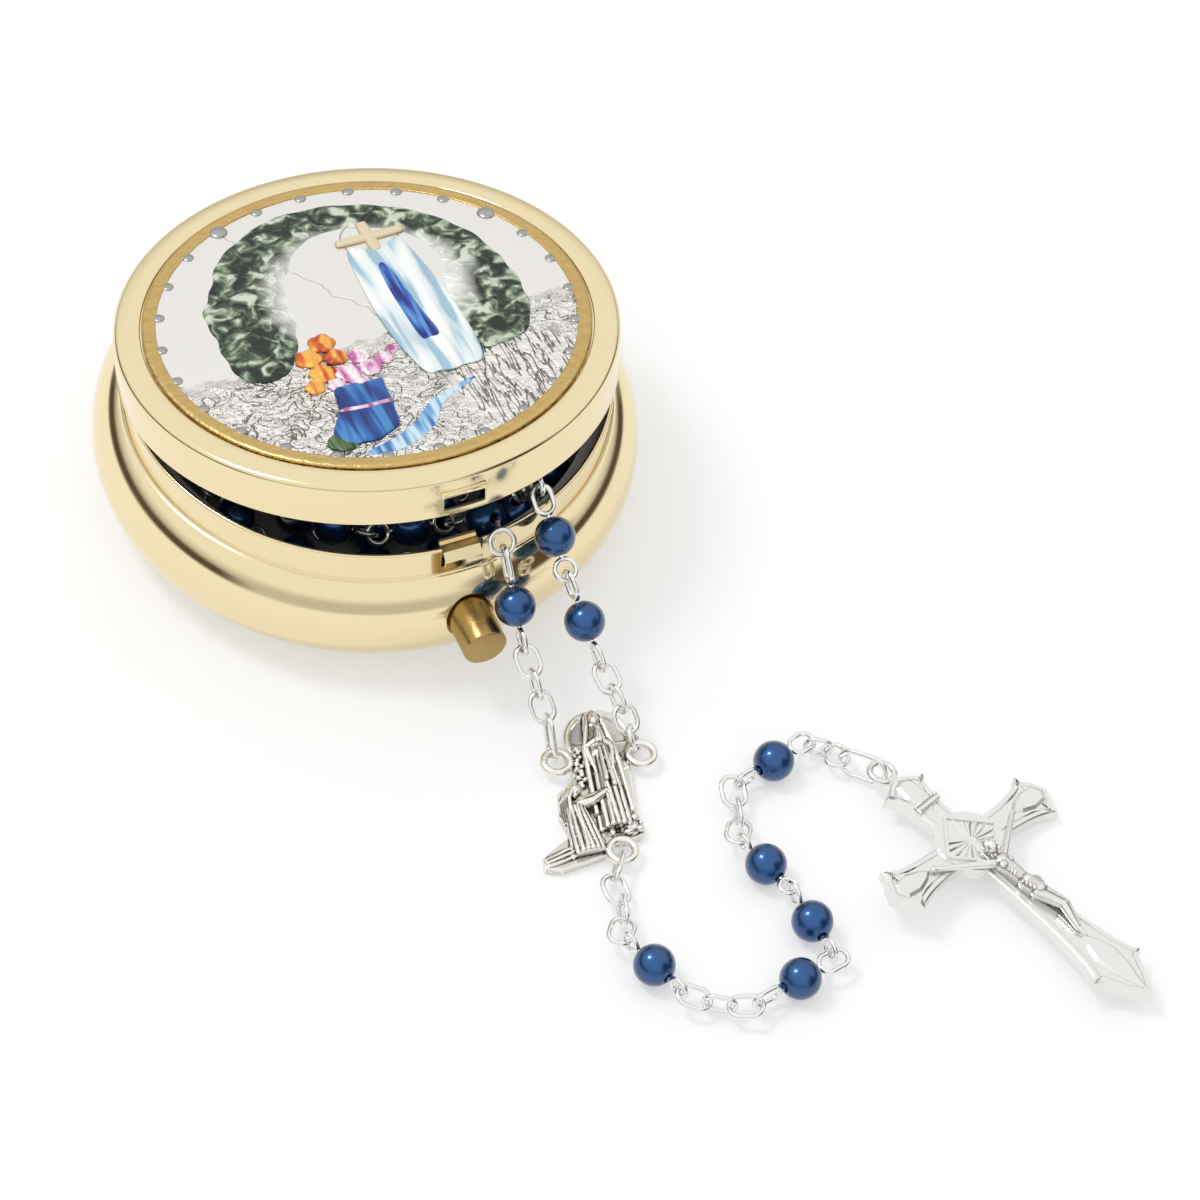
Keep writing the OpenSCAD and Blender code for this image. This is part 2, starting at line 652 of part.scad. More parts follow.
module medal_relief() {
    // back plate: halo, robe, ground and the kneeling figure's train
    difference() {
        union() {
            translate([0.4, 2.6, 0]) cylinder(r = 3.4, h = medal_t);
            linear_extrude(medal_t) polygon([
                [-2.6, 2], [-2.9, -2], [-4.6, -3.4], [-4.9, -6], [-4.2, -8.4],
                [-7.2, -10.6], [-7.3, -11.8], [-5.6, -12.2], [-0.9, -11],
                [-0.2, -9.9], [0.8, -9.9], [2.6, -9.4], [3, -8.6], [2.6, -6.5],
                [2.9, -2], [3.1, 2]]);
            medal_neck(-side_ring_x, 0);
            medal_neck(side_ring_x, 0);
            medal_neck(medal_foot_ring[0], medal_foot_ring[1]);
        }
        for (p = [[-side_ring_x, 0], [side_ring_x, 0], medal_foot_ring])
            translate([p[0], p[1], -1]) cylinder(r = medal_ring_r, h = 5);
    }
    medal_ring(-side_ring_x, 0);
    medal_ring(side_ring_x, 0);
    medal_ring(medal_foot_ring[0], medal_foot_ring[1]);
    // standing veiled figure
    lump([0.3, -5.8], [0.1, 1.2], 1.9, 1.5, 0.8, 1.1);
    lump([0.1, 0.6], [0.1, 4.2], 1.5, 1.15, 1.1, 1.2);
    translate([0.1, 4.1, 1.9]) sphere(r = 0.75);
    // kneeling figure with raised hands
    lump([-3, -9.6], [-3.2, -5.6], 1.7, 1.25, 0.9, 1.1);
    lump([-3, -10.2], [-6.4, -11.2], 1, 0.7, 0.9, 0.7);
    lump([-2.9, -5.2], [-0.6, -4.6], 0.6, 0.45, 1.5, 2);
    translate([-3.3, -3.6, 1.3]) sphere(r = 0.95);
    // rock beside the robe
    lump([1.7, -8.2], [1.3, -5.6], 0.9, 1.1, 0.8, 0.9);
}

// Round pad that joins a ring to the plate
module medal_neck(x, y)
translate([x, y, medal_ring_z - 0.45])
cylinder(r = medal_ring_r + 0.15, h = 0.9);

/* Pendant */

// The chain's rings lie flat (0) and stand on edge (90) by turns
module medal_chain_links() color(silver) {
    link(pendant_pts[0], pendant_pts[1], 75);
    link(bent(pendant_pts, 1, -1, link_w), pendant_pts[2], -10);
    link(pendant_pts[2], pendant_pts[3], 80);
    link(pendant_pts[3], pendant_pts[4], 0);
}
module lower_chain_links() color(silver) {
    link(bent(pendant_pts, 5, -1, link_w), pendant_pts[6], 0);
    link(pendant_pts[6], pendant_pts[7], 90);
    link(pendant_pts[7], pendant_pts[8], 0);
}
module upper_chain_links() color(silver) {
    link(bent(pendant_pts, 11, -1, link_w), pendant_pts[12], 0);
    link(pendant_pts[12], pendant_pts[13], 90);
    link(pendant_pts[13], pendant_pts[14], 0);
}
module cross_chain_links() color(silver) {
    link(bent(pendant_pts, 15, 1, eye_w), pendant_pts[16], 90);
    link(bent(pendant_pts, 16, -1, link_w), pendant_pts[17], 0);
}
module cross_jump_ring() color(silver)
link(bent(pendant_pts, 17, 1, link_w), pendant_pts[18], 75, ring_w);

// Keeps the bead of a pin on the table
function level(p) = [p[0], p[1], bead_r + 0.01];

// The two ends of each pendant pin, counted from the medal
pin_ends = [
    [level(bent(pendant_pts, 4, 1, link_w)), level(pendant_pts[5]), 90, 90],
    [level(bent(pendant_pts, 8, 1, link_w)), level(pendant_pts[9]), 90, 0],
    [level(bent(pendant_pts, 9, 1, eye_w)), level(pendant_pts[10]), 90, 90],
    [level(pendant_pts[10]), level(pendant_pts[11]), 0, 90],
    [level(bent(pendant_pts, 14, 1, link_w)), level(pendant_pts[15]), 90, 0]
];
module pendant_bead(i) bead(pin_ends[i - 1][0], pin_ends[i - 1][1]);
module pendant_pin(i)
eye_pin(pin_ends[i - 1][0], pin_ends[i - 1][1], 0.5, pin_ends[i - 1][2], pin_ends[i - 1][3]);

/* Crucifix */

// Right half of a flared arm that points along +Y, from its root outwards
function arm_side(corner, tip, half) = concat(
    [for (t = [0:15:90])
        [beam_w / 2 + (half - beam_w / 2) * (1 - cos(t)), 3 + (corner - 3) * sin(t)]],
    [[half * 0.45, corner + (tip - corner) * 0.55]]);

function mirrored(pts) = [for (p = reversed(pts)) [-p[0], p[1]]];
function whole_arm(corner, tip, half) =
    concat(arm_side(corner, tip, half), [[0, tip]], mirrored(arm_side(corner, tip, half)));

flare = 2.9;
foot_flare = 3.5;
module arm(turn, corner, tip, half)
rotate([0, 0, turn]) {
    linear_extrude(cross_t)
        polygon(concat([[beam_w / 2, 0]], whole_arm(corner, tip, half), [[-beam_w / 2, 0]]));
    // raised lozenge on the flared end
    translate([0, 0, cross_t - eps]) linear_extrude(0.25) polygon([
        [0, tip - 0.9], [half * 0.42, (corner + tip) / 2 - 1.2],
        [0, corner - half * 1.05], [-half * 0.42, (corner + tip) / 2 - 1.2]]);
}

module crucifix() color(silver)
translate(cross_at) rotate([0, cross_tilt, cross_turn]) {
    arm(0, cross_head - 1.4, cross_head, flare);
    arm(90, cross_arm - 1.6, cross_arm, flare);
    arm(-90, cross_arm - 1.6, cross_arm, flare);
    arm(180, cross_foot - 4.4, cross_foot, foot_flare);
    // rayed plate, its corners on the arms, and its round back
    translate([0, 0, cross_t / 2]) rotate([0, 0, 45])
        cube([rayed_w, rayed_w, cross_t + 0.7], center = true);
    cylinder(r = 3.6, h = cross_t + 0.15);
    // scroll above the figure
    translate([0, 5.6, cross_t + 0.1]) cube([2.9, 0.9, 0.6], center = true);
    // ring that the jump ring goes through
    translate([0, cross_ring_y, cross_t / 2]) rotate_extrude($fn = 48)
        translate([cross_ring_r, 0]) circle(r = cross_wire_r, $fn = 16);
    translate([-0.5, cross_head - 0.6, 0.2]) cube([1, 0.8, 0.9]);
    // figure
    lift = cross_t + 0.5;
    translate([0.2, -2, lift + 0.7]) sphere(r = 0.85, $fn = 32);
    body_part([0, -3.6], [0.2, -6.6], 0.95, 0.75, lift, lift);
    body_part([0.2, -6.8], [0.4, -8], 0.95, 0.85, lift, lift);
    body_part([0.4, -8.2], [0.9, -11], 0.75, 0.55, lift, lift + 0.2);
    body_part([0.9, -11], [0, -13.6], 0.55, 0.35, lift + 0.2, lift - 0.2);
    body_part([-0.6, -3.3], [-5.6, -0.4], 0.5, 0.32, lift, lift - 0.2);
    body_part([0.6, -3.3], [5.6, -0.4], 0.5, 0.32, lift, lift - 0.2);
}

module body_part(a, b, ra, rb, za, zb)
hull() {
    translate([a[0], a[1], za]) sphere(r = ra, $fn = 24);
    translate([b[0], b[1], zb]) sphere(r = rb, $fn = 24);
}

base_bowl();
collar_ring();
bowl_liner();
button_bush();
push_button();
catch_foot();
catch_leaf();
catch_rivets();
hinge_base_leaf();
hinge_lid_leaf();
hinge_pin();
lid_frame();
lid_lining();
picture_bezel();
picture_plate();
stored_beads();
stored_pins();
left_inner_link();
left_inner_bead();
left_inner_pin();
left_outer_bead();
left_outer_pin();
left_chain_links();
left_jump_ring();
right_rim_links();
right_inner_link();
right_inner_bead();
right_inner_pin();
right_upper_bead();
right_upper_pin();
right_lower_bead();
right_lower_pin();
right_chain_links();
right_jump_ring();
medal();
medal_chain_links();
pendant_bead(1);  // pendant_bead_1
pendant_bead(2);  // pendant_bead_2
pendant_bead(3);  // pendant_bead_3
pendant_bead(4);  // pendant_bead_4
pendant_bead(5);  // pendant_bead_5
pendant_pin(1);  // pendant_pin_1
pendant_pin(2);  // pendant_pin_2
pendant_pin(3);  // pendant_pin_3
pendant_pin(4);  // pendant_pin_4
pendant_pin(5);  // pendant_pin_5
lower_chain_links();
upper_chain_links();
cross_chain_links();
cross_jump_ring();
crucifix();
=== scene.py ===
import bpy
import math
from mathutils import Matrix, Vector


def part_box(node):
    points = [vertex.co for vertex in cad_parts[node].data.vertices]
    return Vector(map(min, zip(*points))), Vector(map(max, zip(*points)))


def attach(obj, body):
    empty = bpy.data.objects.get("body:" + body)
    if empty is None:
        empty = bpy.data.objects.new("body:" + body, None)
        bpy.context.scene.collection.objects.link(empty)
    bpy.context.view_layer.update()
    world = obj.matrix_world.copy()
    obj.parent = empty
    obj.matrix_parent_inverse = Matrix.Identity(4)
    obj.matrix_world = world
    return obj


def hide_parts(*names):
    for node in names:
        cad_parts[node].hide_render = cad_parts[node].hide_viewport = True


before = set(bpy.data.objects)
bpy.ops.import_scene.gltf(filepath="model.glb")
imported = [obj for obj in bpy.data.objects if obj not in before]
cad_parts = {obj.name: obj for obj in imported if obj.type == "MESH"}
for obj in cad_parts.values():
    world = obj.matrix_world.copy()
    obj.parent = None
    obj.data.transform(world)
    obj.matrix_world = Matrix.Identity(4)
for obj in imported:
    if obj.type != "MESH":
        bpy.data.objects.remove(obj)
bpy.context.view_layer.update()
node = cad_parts


# ---------------------------------------------------------------------------
# Bowl. A spun brass cup, polished and gilt, with a flat foot and a round
# belly that turns in to a narrow land, on which the collar is soldered.
# ---------------------------------------------------------------------------

def turned(name, outline, steps=192):
    """A piece turned about the upright axis from (radius, height) points in mm."""
    bpy.ops.object.select_all(action="DESELECT")
    bpy.ops.mesh.primitive_plane_add(size=0.001)
    piece = bpy.context.object
    piece.name = name
    bpy.ops.object.mode_set(mode="EDIT")
    bpy.ops.mesh.merge(type="CENTER")
    bpy.ops.transform.translate(value=(outline[0][0] / 1000, 0, outline[0][1] / 1000))
    for (r0, z0), (r1, z1) in zip(outline, outline[1:]):
        step = ((r1 - r0) / 1000, 0, (z1 - z0) / 1000)
        bpy.ops.mesh.extrude_vertices_move(TRANSFORM_OT_translate={"value": step})
    bpy.ops.mesh.select_all(action="SELECT")
    bpy.ops.mesh.spin(steps=steps, angle=2 * math.pi, center=(0, 0, 0), axis=(0, 0, 1))
    bpy.ops.mesh.select_all(action="SELECT")
    bpy.ops.mesh.remove_doubles(threshold=2e-6)
    bpy.ops.mesh.normals_make_consistent(inside=False)
    bpy.ops.object.mode_set(mode="OBJECT")
    bpy.ops.object.shade_smooth_by_angle(angle=math.radians(35))
    return piece


def ellipse(x, z, a, b, start, stop, steps):
    """Points of an ellipse about (x, z), from one angle to another in degrees."""
    turn = [math.radians(start + (stop - start) * i / steps) for i in range(steps + 1)]
    return [(x + a * math.cos(t), z + b * math.sin(t)) for t in turn]


def only(piece):
    """Makes a piece the one that is selected and active."""
    bpy.ops.object.select_all(action="DESELECT")
    piece.select_set(True)
    bpy.context.view_layer.objects.active = piece


def cut(piece, cutter):
    """Takes the cutter's shape out of a piece."""
    only(piece)
    bite = piece.modifiers.new("bite", "BOOLEAN")
    bite.operation = "DIFFERENCE"
    bite.solver = "EXACT"
    bite.object = cutter
    bpy.ops.object.modifier_apply(modifier=bite.name)
    bpy.data.objects.remove(cutter)
    bpy.ops.object.shade_smooth_by_angle(angle=math.radians(35))


def block(name, low, high):
    """A box between two corners in mm."""
    middle = [(a + b) / 2000 for a, b in zip(low, high)]
    bpy.ops.object.select_all(action="DESELECT")
    bpy.ops.mesh.primitive_cube_add(size=0.001, location=middle)
    piece = bpy.context.object
    piece.name = name
    piece.scale = [b - a for a, b in zip(low, high)]
    bpy.ops.object.transform_apply(location=True, rotation=True, scale=True)
    return piece


def rod(name, radius, start, stop, steps=96):
    """A round bar between two points in mm."""
    a = Vector(start) / 1000
    b = Vector(stop) / 1000
    lean = (b - a).to_track_quat("Z", "Y").to_euler()
    bpy.ops.object.select_all(action="DESELECT")
    bpy.ops.mesh.primitive_cylinder_add(
        vertices=steps, radius=radius / 1000, depth=(b - a).length,
        location=(a + b) / 2, rotation=lean)
    piece = bpy.context.object
    piece.name = name
    bpy.ops.object.transform_apply(location=True, rotation=True, scale=True)
    return piece


def paint(name, colour, metal=0.0, rough=0.4):
    """A plain material and its shader, for the finish to be built on."""
    made = bpy.data.materials.new(name)
    made.use_nodes = True
    shader = made.node_tree.nodes["Principled BSDF"]
    shader.inputs["Base Color"].default_value = (*colour, 1)
    shader.inputs["Metallic"].default_value = metal
    shader.inputs["Roughness"].default_value = rough
    return made, shader


def wears(piece, finish):
    """Gives a piece one material."""
    piece.data.materials.clear()
    piece.data.materials.append(finish)


# Handling marks: soft noise that dulls a polish here and there
marks = bpy.data.node_groups.new("handling_marks", "ShaderNodeTree")
marks.interface.new_socket("Scale", in_out="INPUT", socket_type="NodeSocketFloat")
marks.interface.new_socket("Clean", in_out="INPUT", socket_type="NodeSocketFloat")
marks.interface.new_socket("Dull", in_out="INPUT", socket_type="NodeSocketFloat")
marks.interface.new_socket("Roughness", in_out="OUTPUT", socket_type="NodeSocketFloat")
marks.interface.new_socket("Height", in_out="OUTPUT", socket_type="NodeSocketFloat")
marks_in = marks.nodes.new("NodeGroupInput")
marks_out = marks.nodes.new("NodeGroupOutput")
marks_place = marks.nodes.new("ShaderNodeTexCoord")
marks_noise = marks.nodes.new("ShaderNodeTexNoise")
marks_noise.inputs["Detail"].default_value = 4
marks_range = marks.nodes.new("ShaderNodeMapRange")
marks.links.new(marks_place.outputs["Object"], marks_noise.inputs["Vector"])
marks.links.new(marks_in.outputs["Scale"], marks_noise.inputs["Scale"])
marks.links.new(marks_noise.outputs["Fac"], marks_range.inputs["Value"])
marks_range.inputs["From Min"].default_value = 0.35
marks_range.inputs["From Max"].default_value = 0.7
marks.links.new(marks_in.outputs["Clean"], marks_range.inputs["To Min"])
marks.links.new(marks_in.outputs["Dull"], marks_range.inputs["To Max"])
marks.links.new(marks_range.outputs["Result"], marks_out.inputs["Roughness"])
marks.links.new(marks_noise.outputs["Fac"], marks_out.inputs["Height"])


def handled(made, shader, scale, clean, dull, bump=0.0):
    """Adds handling marks to a material."""
    tree = made.node_tree
    worn = tree.nodes.new("ShaderNodeGroup")
    worn.node_tree = marks
    worn.inputs["Scale"].default_value = scale
    worn.inputs["Clean"].default_value = clean
    worn.inputs["Dull"].default_value = dull
    tree.links.new(worn.outputs["Roughness"], shader.inputs["Roughness"])
    if bump:
        dents = tree.nodes.new("ShaderNodeBump")
        dents.inputs["Strength"].default_value = bump
        dents.inputs["Distance"].default_value = 0.0002
        tree.links.new(worn.outputs["Height"], dents.inputs["Height"])
        tree.links.new(dents.outputs["Normal"], shader.inputs["Normal"])


bowl_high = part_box("base_bowl")[1] * 1000
belly_r = bowl_high.x
neck_z = bowl_high.z
foot_r = 20
belly_z = 6.75
shoulder_r = 22.5
sheet = 0.5
collar_r = 24.3
sleeve_r = collar_r - sheet
land_r = collar_r + 0.2
land_turn = math.acos((land_r - shoulder_r) / (belly_r - shoulder_r))
shoulder_b = (neck_z - belly_z) / math.sin(land_turn)
inner_turn = math.acos((sleeve_r - shoulder_r) / (belly_r - shoulder_r - sheet))

outer_foot = ellipse(foot_r, belly_z, belly_r - foot_r, belly_z, -90, 0, 30)
outer_shoulder = ellipse(shoulder_r, belly_z, belly_r - shoulder_r, shoulder_b,
                         3, math.degrees(land_turn), 24)
inner_shoulder = ellipse(shoulder_r, belly_z, belly_r - shoulder_r - sheet, shoulder_b - sheet,
                         math.degrees(inner_turn), 3, 20)
inner_foot = ellipse(foot_r, belly_z, belly_r - foot_r - sheet, belly_z - sheet, 0, -90, 24)
bowl = turned("spun_bowl", [(0, 0)] + outer_foot + outer_shoulder + [(sleeve_r, neck_z)]
              + inner_shoulder + inner_foot + [(0, sheet)])
button_z = 7.9
button_r = 2.2
hole_gap = 0.25
cut(bowl, rod("hole", button_r + hole_gap, (0, -belly_r + 6, button_z),
              (0, -belly_r - 2, button_z)))

polished_gilt, gilt_shader = paint("polished_gilt", (0.86, 0.73, 0.46), 1.0, 0.1)
handled(polished_gilt, gilt_shader, 90, 0.07, 0.14)
wears(bowl, polished_gilt)
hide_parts("base_bowl")
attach(bowl, "box")


# ---------------------------------------------------------------------------
# Collar. A brass ring soldered on the bowl's land, its rim rounded over, with
# a window at the front through which the catch's nose reaches the lid.
# ---------------------------------------------------------------------------

rim_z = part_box("collar_ring")[1].z * 1000
sleeve_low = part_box("collar_ring")[0].z * 1000
ledge_z = neck_z + 0.6
rim_round = sheet / 2
collar_outline = [(sleeve_r - sheet, sleeve_low), (sleeve_r, sleeve_low), (sleeve_r, neck_z),
                  (land_r - 0.04, neck_z), (collar_r + 0.07, neck_z + 0.05),
                  (collar_r + 0.02, neck_z + 0.13), (collar_r, neck_z + 0.25)]
collar_outline += ellipse(collar_r - rim_round, rim_z - rim_round, rim_round, rim_round, 0, 180, 12)
collar_outline += [(sleeve_r, ledge_z), (sleeve_r - sheet, ledge_z),
                   (sleeve_r - sheet, sleeve_low)]
collar = turned("collar", collar_outline)
window_half = 2.1
window_z = 13.1
cut(collar, block("window", (-window_half, -collar_r - 1, window_z),
                  (window_half, -collar_r + 2, rim_z + 1)))
wears(collar, polished_gilt)
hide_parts("collar_ring")
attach(collar, "box")


# ---------------------------------------------------------------------------
# Button. A turned brass pin with an eased end, worn to a darker, streaky
# gold, that slides in a bush behind the bowl's wall and works the catch.
# ---------------------------------------------------------------------------

button_low, button_high = [corner * 1000 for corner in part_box("push_button")]
flange_out = -24.85
flange_in = -24.4
stem_r = 1
tip_r = 0.7
button = rod("button", button_r, (0, flange_out, button_z), (0, button_low.y, button_z), 96)
only(button)
easing = button.modifiers.new("eased_end", "BEVEL")
easing.width = 0.00028
easing.segments = 5
easing.limit_method = "ANGLE"
bpy.ops.object.modifier_apply(modifier=easing.name)
flange = rod("button_flange", button_r + 0.4, (0, flange_in, button_z),
             (0, flange_out, button_z), 96)
stem = rod("button_stem", stem_r, (0, button_high.y - 0.3, button_z),
           (0, flange_in - 0.1, button_z), 48)
tip = rod("button_tip", tip_r, (0, button_high.y, button_z),
          (0, button_high.y - 0.4, button_z), 48)
only(button)
flange.select_set(True)
stem.select_set(True)
tip.select_set(True)
bpy.ops.object.join()
bpy.ops.object.shade_smooth_by_angle(angle=math.radians(35))

worn_gold, worn_shader = paint("worn_gold", (0.44, 0.30, 0.11), 1.0, 0.24)
handled(worn_gold, worn_shader, 400, 0.2, 0.36, 0.35)
wears(button, worn_gold)
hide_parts("push_button")
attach(button, "button")
for name in ("button_bush", "catch_foot", "hinge_pin"):
    wears(node[name], worn_gold)
for name in ("catch_leaf", "catch_rivets", "hinge_base_leaf", "hinge_lid_leaf"):
    wears(node[name], polished_gilt)


# ---------------------------------------------------------------------------
# Liner. A white plastic cup, slightly glossy, that hangs in the collar; the
# lid is lined with a disc of the same plastic. Both are painted mid grey:
# painted shade for the shadow inside the box.
# ---------------------------------------------------------------------------

# Mid grey colour: painted shade on white plastic, for the shadow inside the box and under the lid
plastic_in_painted_shade, grey_shader = paint("plastic_in_painted_shade", (0.46, 0.45, 0.44), 0.0, 0.32)
handled(plastic_in_painted_shade, grey_shader, 200, 0.26, 0.4, 0.1)
for name in ("bowl_liner", "lid_lining"):
    wears(node[name], plastic_in_painted_shade)


# ---------------------------------------------------------------------------
# Lid shell. Pressed from one brass sheet: a skirt that slips over the collar,
# a rounded shoulder, a flat top ring and a sunk seat for the picture. A slot
# in the skirt takes the catch's nose. The lid stands a little open.
# ---------------------------------------------------------------------------

hinge_at = Vector((0, 25.5, 12.6)) / 1000
lid_ajar = math.radians(9)


def stands_ajar(piece):
    """Turns a piece of the shut lid up about the hinge pin."""
    only(piece)
    bpy.ops.object.mode_set(mode="EDIT")
    bpy.ops.mesh.select_all(action="SELECT")
    bpy.ops.transform.rotate(value=lid_ajar, orient_axis="X", center_override=hinge_at)
    bpy.ops.object.mode_set(mode="OBJECT")


lid_r = collar_r + 0.45
lid_z = rim_z + 1.6
skirt_wall = 0.3
skirt_z = lid_z - 4.6
seat_z = lid_z - 0.35
picture_r = 20.8
flange_r = picture_r + 1.3
shoulder = 0.6
lid_outline = ellipse(lid_r - skirt_wall / 2, skirt_z + skirt_wall / 2, skirt_wall / 2,
                      skirt_wall / 2, -180, 0, 10)
lid_outline += ellipse(lid_r - shoulder, lid_z - shoulder, shoulder, shoulder, 0, 84, 12)
lid_outline += [(lid_r - shoulder - 0.5, lid_z + 0.04), (lid_r - shoulder - 1, lid_z + 0.05),
                (flange_r + 0.5, lid_z + 0.03)]
lid_outline += ellipse(flange_r + 0.15, lid_z - 0.13, 0.15, 0.15, 90, 180, 5)
lid_outline += [(flange_r, seat_z), (picture_r - 1.2, seat_z), (picture_r - 1.2, seat_z - 0.4),
                (flange_r + 0.4, seat_z - 0.4), (flange_r + 0.4, lid_z - 0.4),
                (lid_r - shoulder, lid_z - 0.4), (lid_r - skirt_wall, lid_z - 0.7),
                (lid_r - skirt_wall, skirt_z + skirt_wall / 2)]
lid = turned("lid_shell", lid_outline)
slot_low = 13.3
slot_high = 15.3
cut(lid, block("slot", (-window_half, -lid_r - 1, slot_low), (window_half, -lid_r + 2, slot_high)))
notch_half = 5.2
notch_z = 13.9
cut(lid, block("notch", (-notch_half, 5, skirt_z - 1), (notch_half, lid_r + 5, notch_z)))
stands_ajar(lid)
wears(lid, polished_gilt)
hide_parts("lid_frame")
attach(lid, "lid")

# Lip over the slot, pressed out of the skirt
lip = block("slot_lip", (-window_half - 0.2, -lid_r - 0.22, slot_high - 0.35),
            (window_half + 0.2, -lid_r + 0.3, slot_high + 0.35))
only(lip)
easing = lip.modifiers.new("eased_edges", "BEVEL")
easing.width = 0.00018
easing.segments = 4
bpy.ops.object.modifier_apply(modifier=easing.name)
bpy.ops.object.shade_smooth_by_angle(angle=math.radians(40))
stands_ajar(lip)
wears(lip, polished_gilt)
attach(lip, "lid")


# ---------------------------------------------------------------------------
# Bezel. A thin ring of rough-gilt brass that is pressed down over the edge of
# the picture and holds it in the lid.
# ---------------------------------------------------------------------------

bezel_r = picture_r + 1.15
bezel_top = lid_z + 0.3
picture_top = seat_z + 0.5
bezel = turned("bezel", [(picture_r, seat_z), (bezel_r, seat_z), (bezel_r, lid_z + 0.08)]
               + ellipse(bezel_r - 0.45, bezel_top - 0.22, 0.45, 0.22, 0, 100, 8)
               + [(picture_r + 0.2, bezel_top - 0.02)]
               + ellipse(picture_r - 0.1, bezel_top - 0.1, 0.15, 0.08, 80, 180, 5)
               + [(picture_r - 0.25, picture_top), (picture_r, picture_top), (picture_r, seat_z)])
stands_ajar(bezel)

rough_gilt, rough_shader = paint("rough_gilt", (0.62, 0.44, 0.17), 1.0, 0.3)
handled(rough_gilt, rough_shader, 900, 0.22, 0.5, 0.7)
wears(bezel, rough_gilt)
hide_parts("picture_bezel")
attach(bezel, "lid")


# ---------------------------------------------------------------------------
# Picture plate. A thin silvered sheet, embossed and part printed: smooth and
# faintly grained above, rocky ground below, with a row of small beads struck
# round its edge. The printed parts are the pieces of the next sections.
# ---------------------------------------------------------------------------

plate_steps = 200
plate = turned("picture_sheet", [(0, seat_z), (picture_r, seat_z), (picture_r, picture_top),
                                 (0, picture_top)], plate_steps)
stands_ajar(plate)

# Place on the shut lid, seen from above: x to the right, y towards the hinge, in mm
lid_place = bpy.data.node_groups.new("place_on_lid", "ShaderNodeTree")
lid_place.interface.new_socket("Place", in_out="OUTPUT", socket_type="NodeSocketVector")
lid_place_out = lid_place.nodes.new("NodeGroupOutput")
lid_coords = lid_place.nodes.new("ShaderNodeTexCoord")
lid_shut = lid_place.nodes.new("ShaderNodeMapping")
shut_turn = Matrix.Rotation(lid_ajar, 3, "X")
lid_shut.inputs["Rotation"].default_value = (lid_ajar, 0, 0)
lid_shut.inputs["Location"].default_value = (hinge_at - shut_turn @ hinge_at) * 1000
lid_shut.inputs["Scale"].default_value = (1000, 1000, 1000)
lid_place.links.new(lid_coords.outputs["Object"], lid_shut.inputs["Vector"])
lid_place.links.new(lid_shut.outputs["Vector"], lid_place_out.inputs["Place"])


def linked(tree, kind, **fed):
    """A shader node with its inputs set to numbers or joined to other nodes' outputs."""
    made = tree.nodes.new(kind)
    for name, value in fed.items():
        socket = made.inputs[name.replace("_", " ")]
        if isinstance(value, bpy.types.NodeSocket):
            tree.links.new(value, socket)
        else:
            socket.default_value = value
    return made


def sums(tree, how, *values):
    """A math node on numbers or other nodes' outputs."""
    made = tree.nodes.new("ShaderNodeMath")
    made.operation = how
    for socket, value in zip(made.inputs, values):
        if isinstance(value, bpy.types.NodeSocket):
            tree.links.new(value, socket)
        else:
            socket.default_value = value
    return made.outputs[0]


sheet_tone = (0.90, 0.88, 0.84)
silver_sheet, sheet_shader = paint("embossed_silver", sheet_tone, 1.0, 0.3)
tree = silver_sheet.node_tree
spot = tree.nodes.new("ShaderNodeGroup")
spot.node_tree = lid_place
place = spot.outputs["Place"]
axes = linked(tree, "ShaderNodeSeparateXYZ", Vector=place)
wander = linked(tree, "ShaderNodeTexNoise", Vector=place, Scale=0.35, Detail=3.0)
# The ground starts at about y = -3, and its edge wavers
ground_line = sums(tree, "ADD", axes.outputs["Y"],
                   sums(tree, "MULTIPLY", wander.outputs["Fac"], 6.0))
ground = linked(tree, "ShaderNodeMapRange", Value=ground_line, From_Min=0.0, From_Max=-2.0)
rocks = linked(tree, "ShaderNodeTexNoise", Vector=place, Scale=0.6, Detail=4.0, Roughness=0.62)
grain = linked(tree, "ShaderNodeTexNoise", Vector=place, Scale=7.0, Detail=2.0)


def chased(noise, width):
    """Thin lines where a noise crosses its middle."""
    off = sums(tree, "ABSOLUTE", sums(tree, "SUBTRACT", noise.outputs["Fac"], 0.5))
    line = linked(tree, "ShaderNodeMapRange", Value=off, From_Min=width, From_Max=width * 0.2)
    return line.outputs["Result"]


# Chased lines outline the pebbles, and further down the boulders
pebbles = linked(tree, "ShaderNodeTexNoise", Vector=place, Scale=1.2, Detail=1.5, Distortion=0.8)
# Grass at the front right: strokes that lean, kept to a round patch
leaning = linked(tree, "ShaderNodeMapping", Vector=place, Rotation=(0, 0, math.radians(-14)),
                 Scale=(1.9, 0.3, 1))
blades = linked(tree, "ShaderNodeTexNoise", Vector=leaning.outputs["Vector"], Scale=0.9, Detail=2.0)
off_grass = tree.nodes.new("ShaderNodeVectorMath")
off_grass.operation = "DISTANCE"
tree.links.new(place, off_grass.inputs[0])
off_grass.inputs[1].default_value = (11, -14, lid_z)
grass = linked(tree, "ShaderNodeMapRange", Value=off_grass.outputs["Value"], From_Min=8.5,
               From_Max=6.5)
boulders = linked(tree, "ShaderNodeTexNoise", Vector=place, Scale=0.45, Detail=2.0, Distortion=0.8)
stones = sums(tree, "MAXIMUM", chased(boulders, 0.022), chased(pebbles, 0.014))
strokes = sums(tree, "MULTIPLY", chased(blades, 0.05), grass.outputs["Result"])
stones = sums(tree, "MULTIPLY", stones, sums(tree, "SUBTRACT", 1.0, grass.outputs["Result"]))
lines = sums(tree, "MULTIPLY", sums(tree, "MAXIMUM", stones, strokes), ground.outputs["Result"])
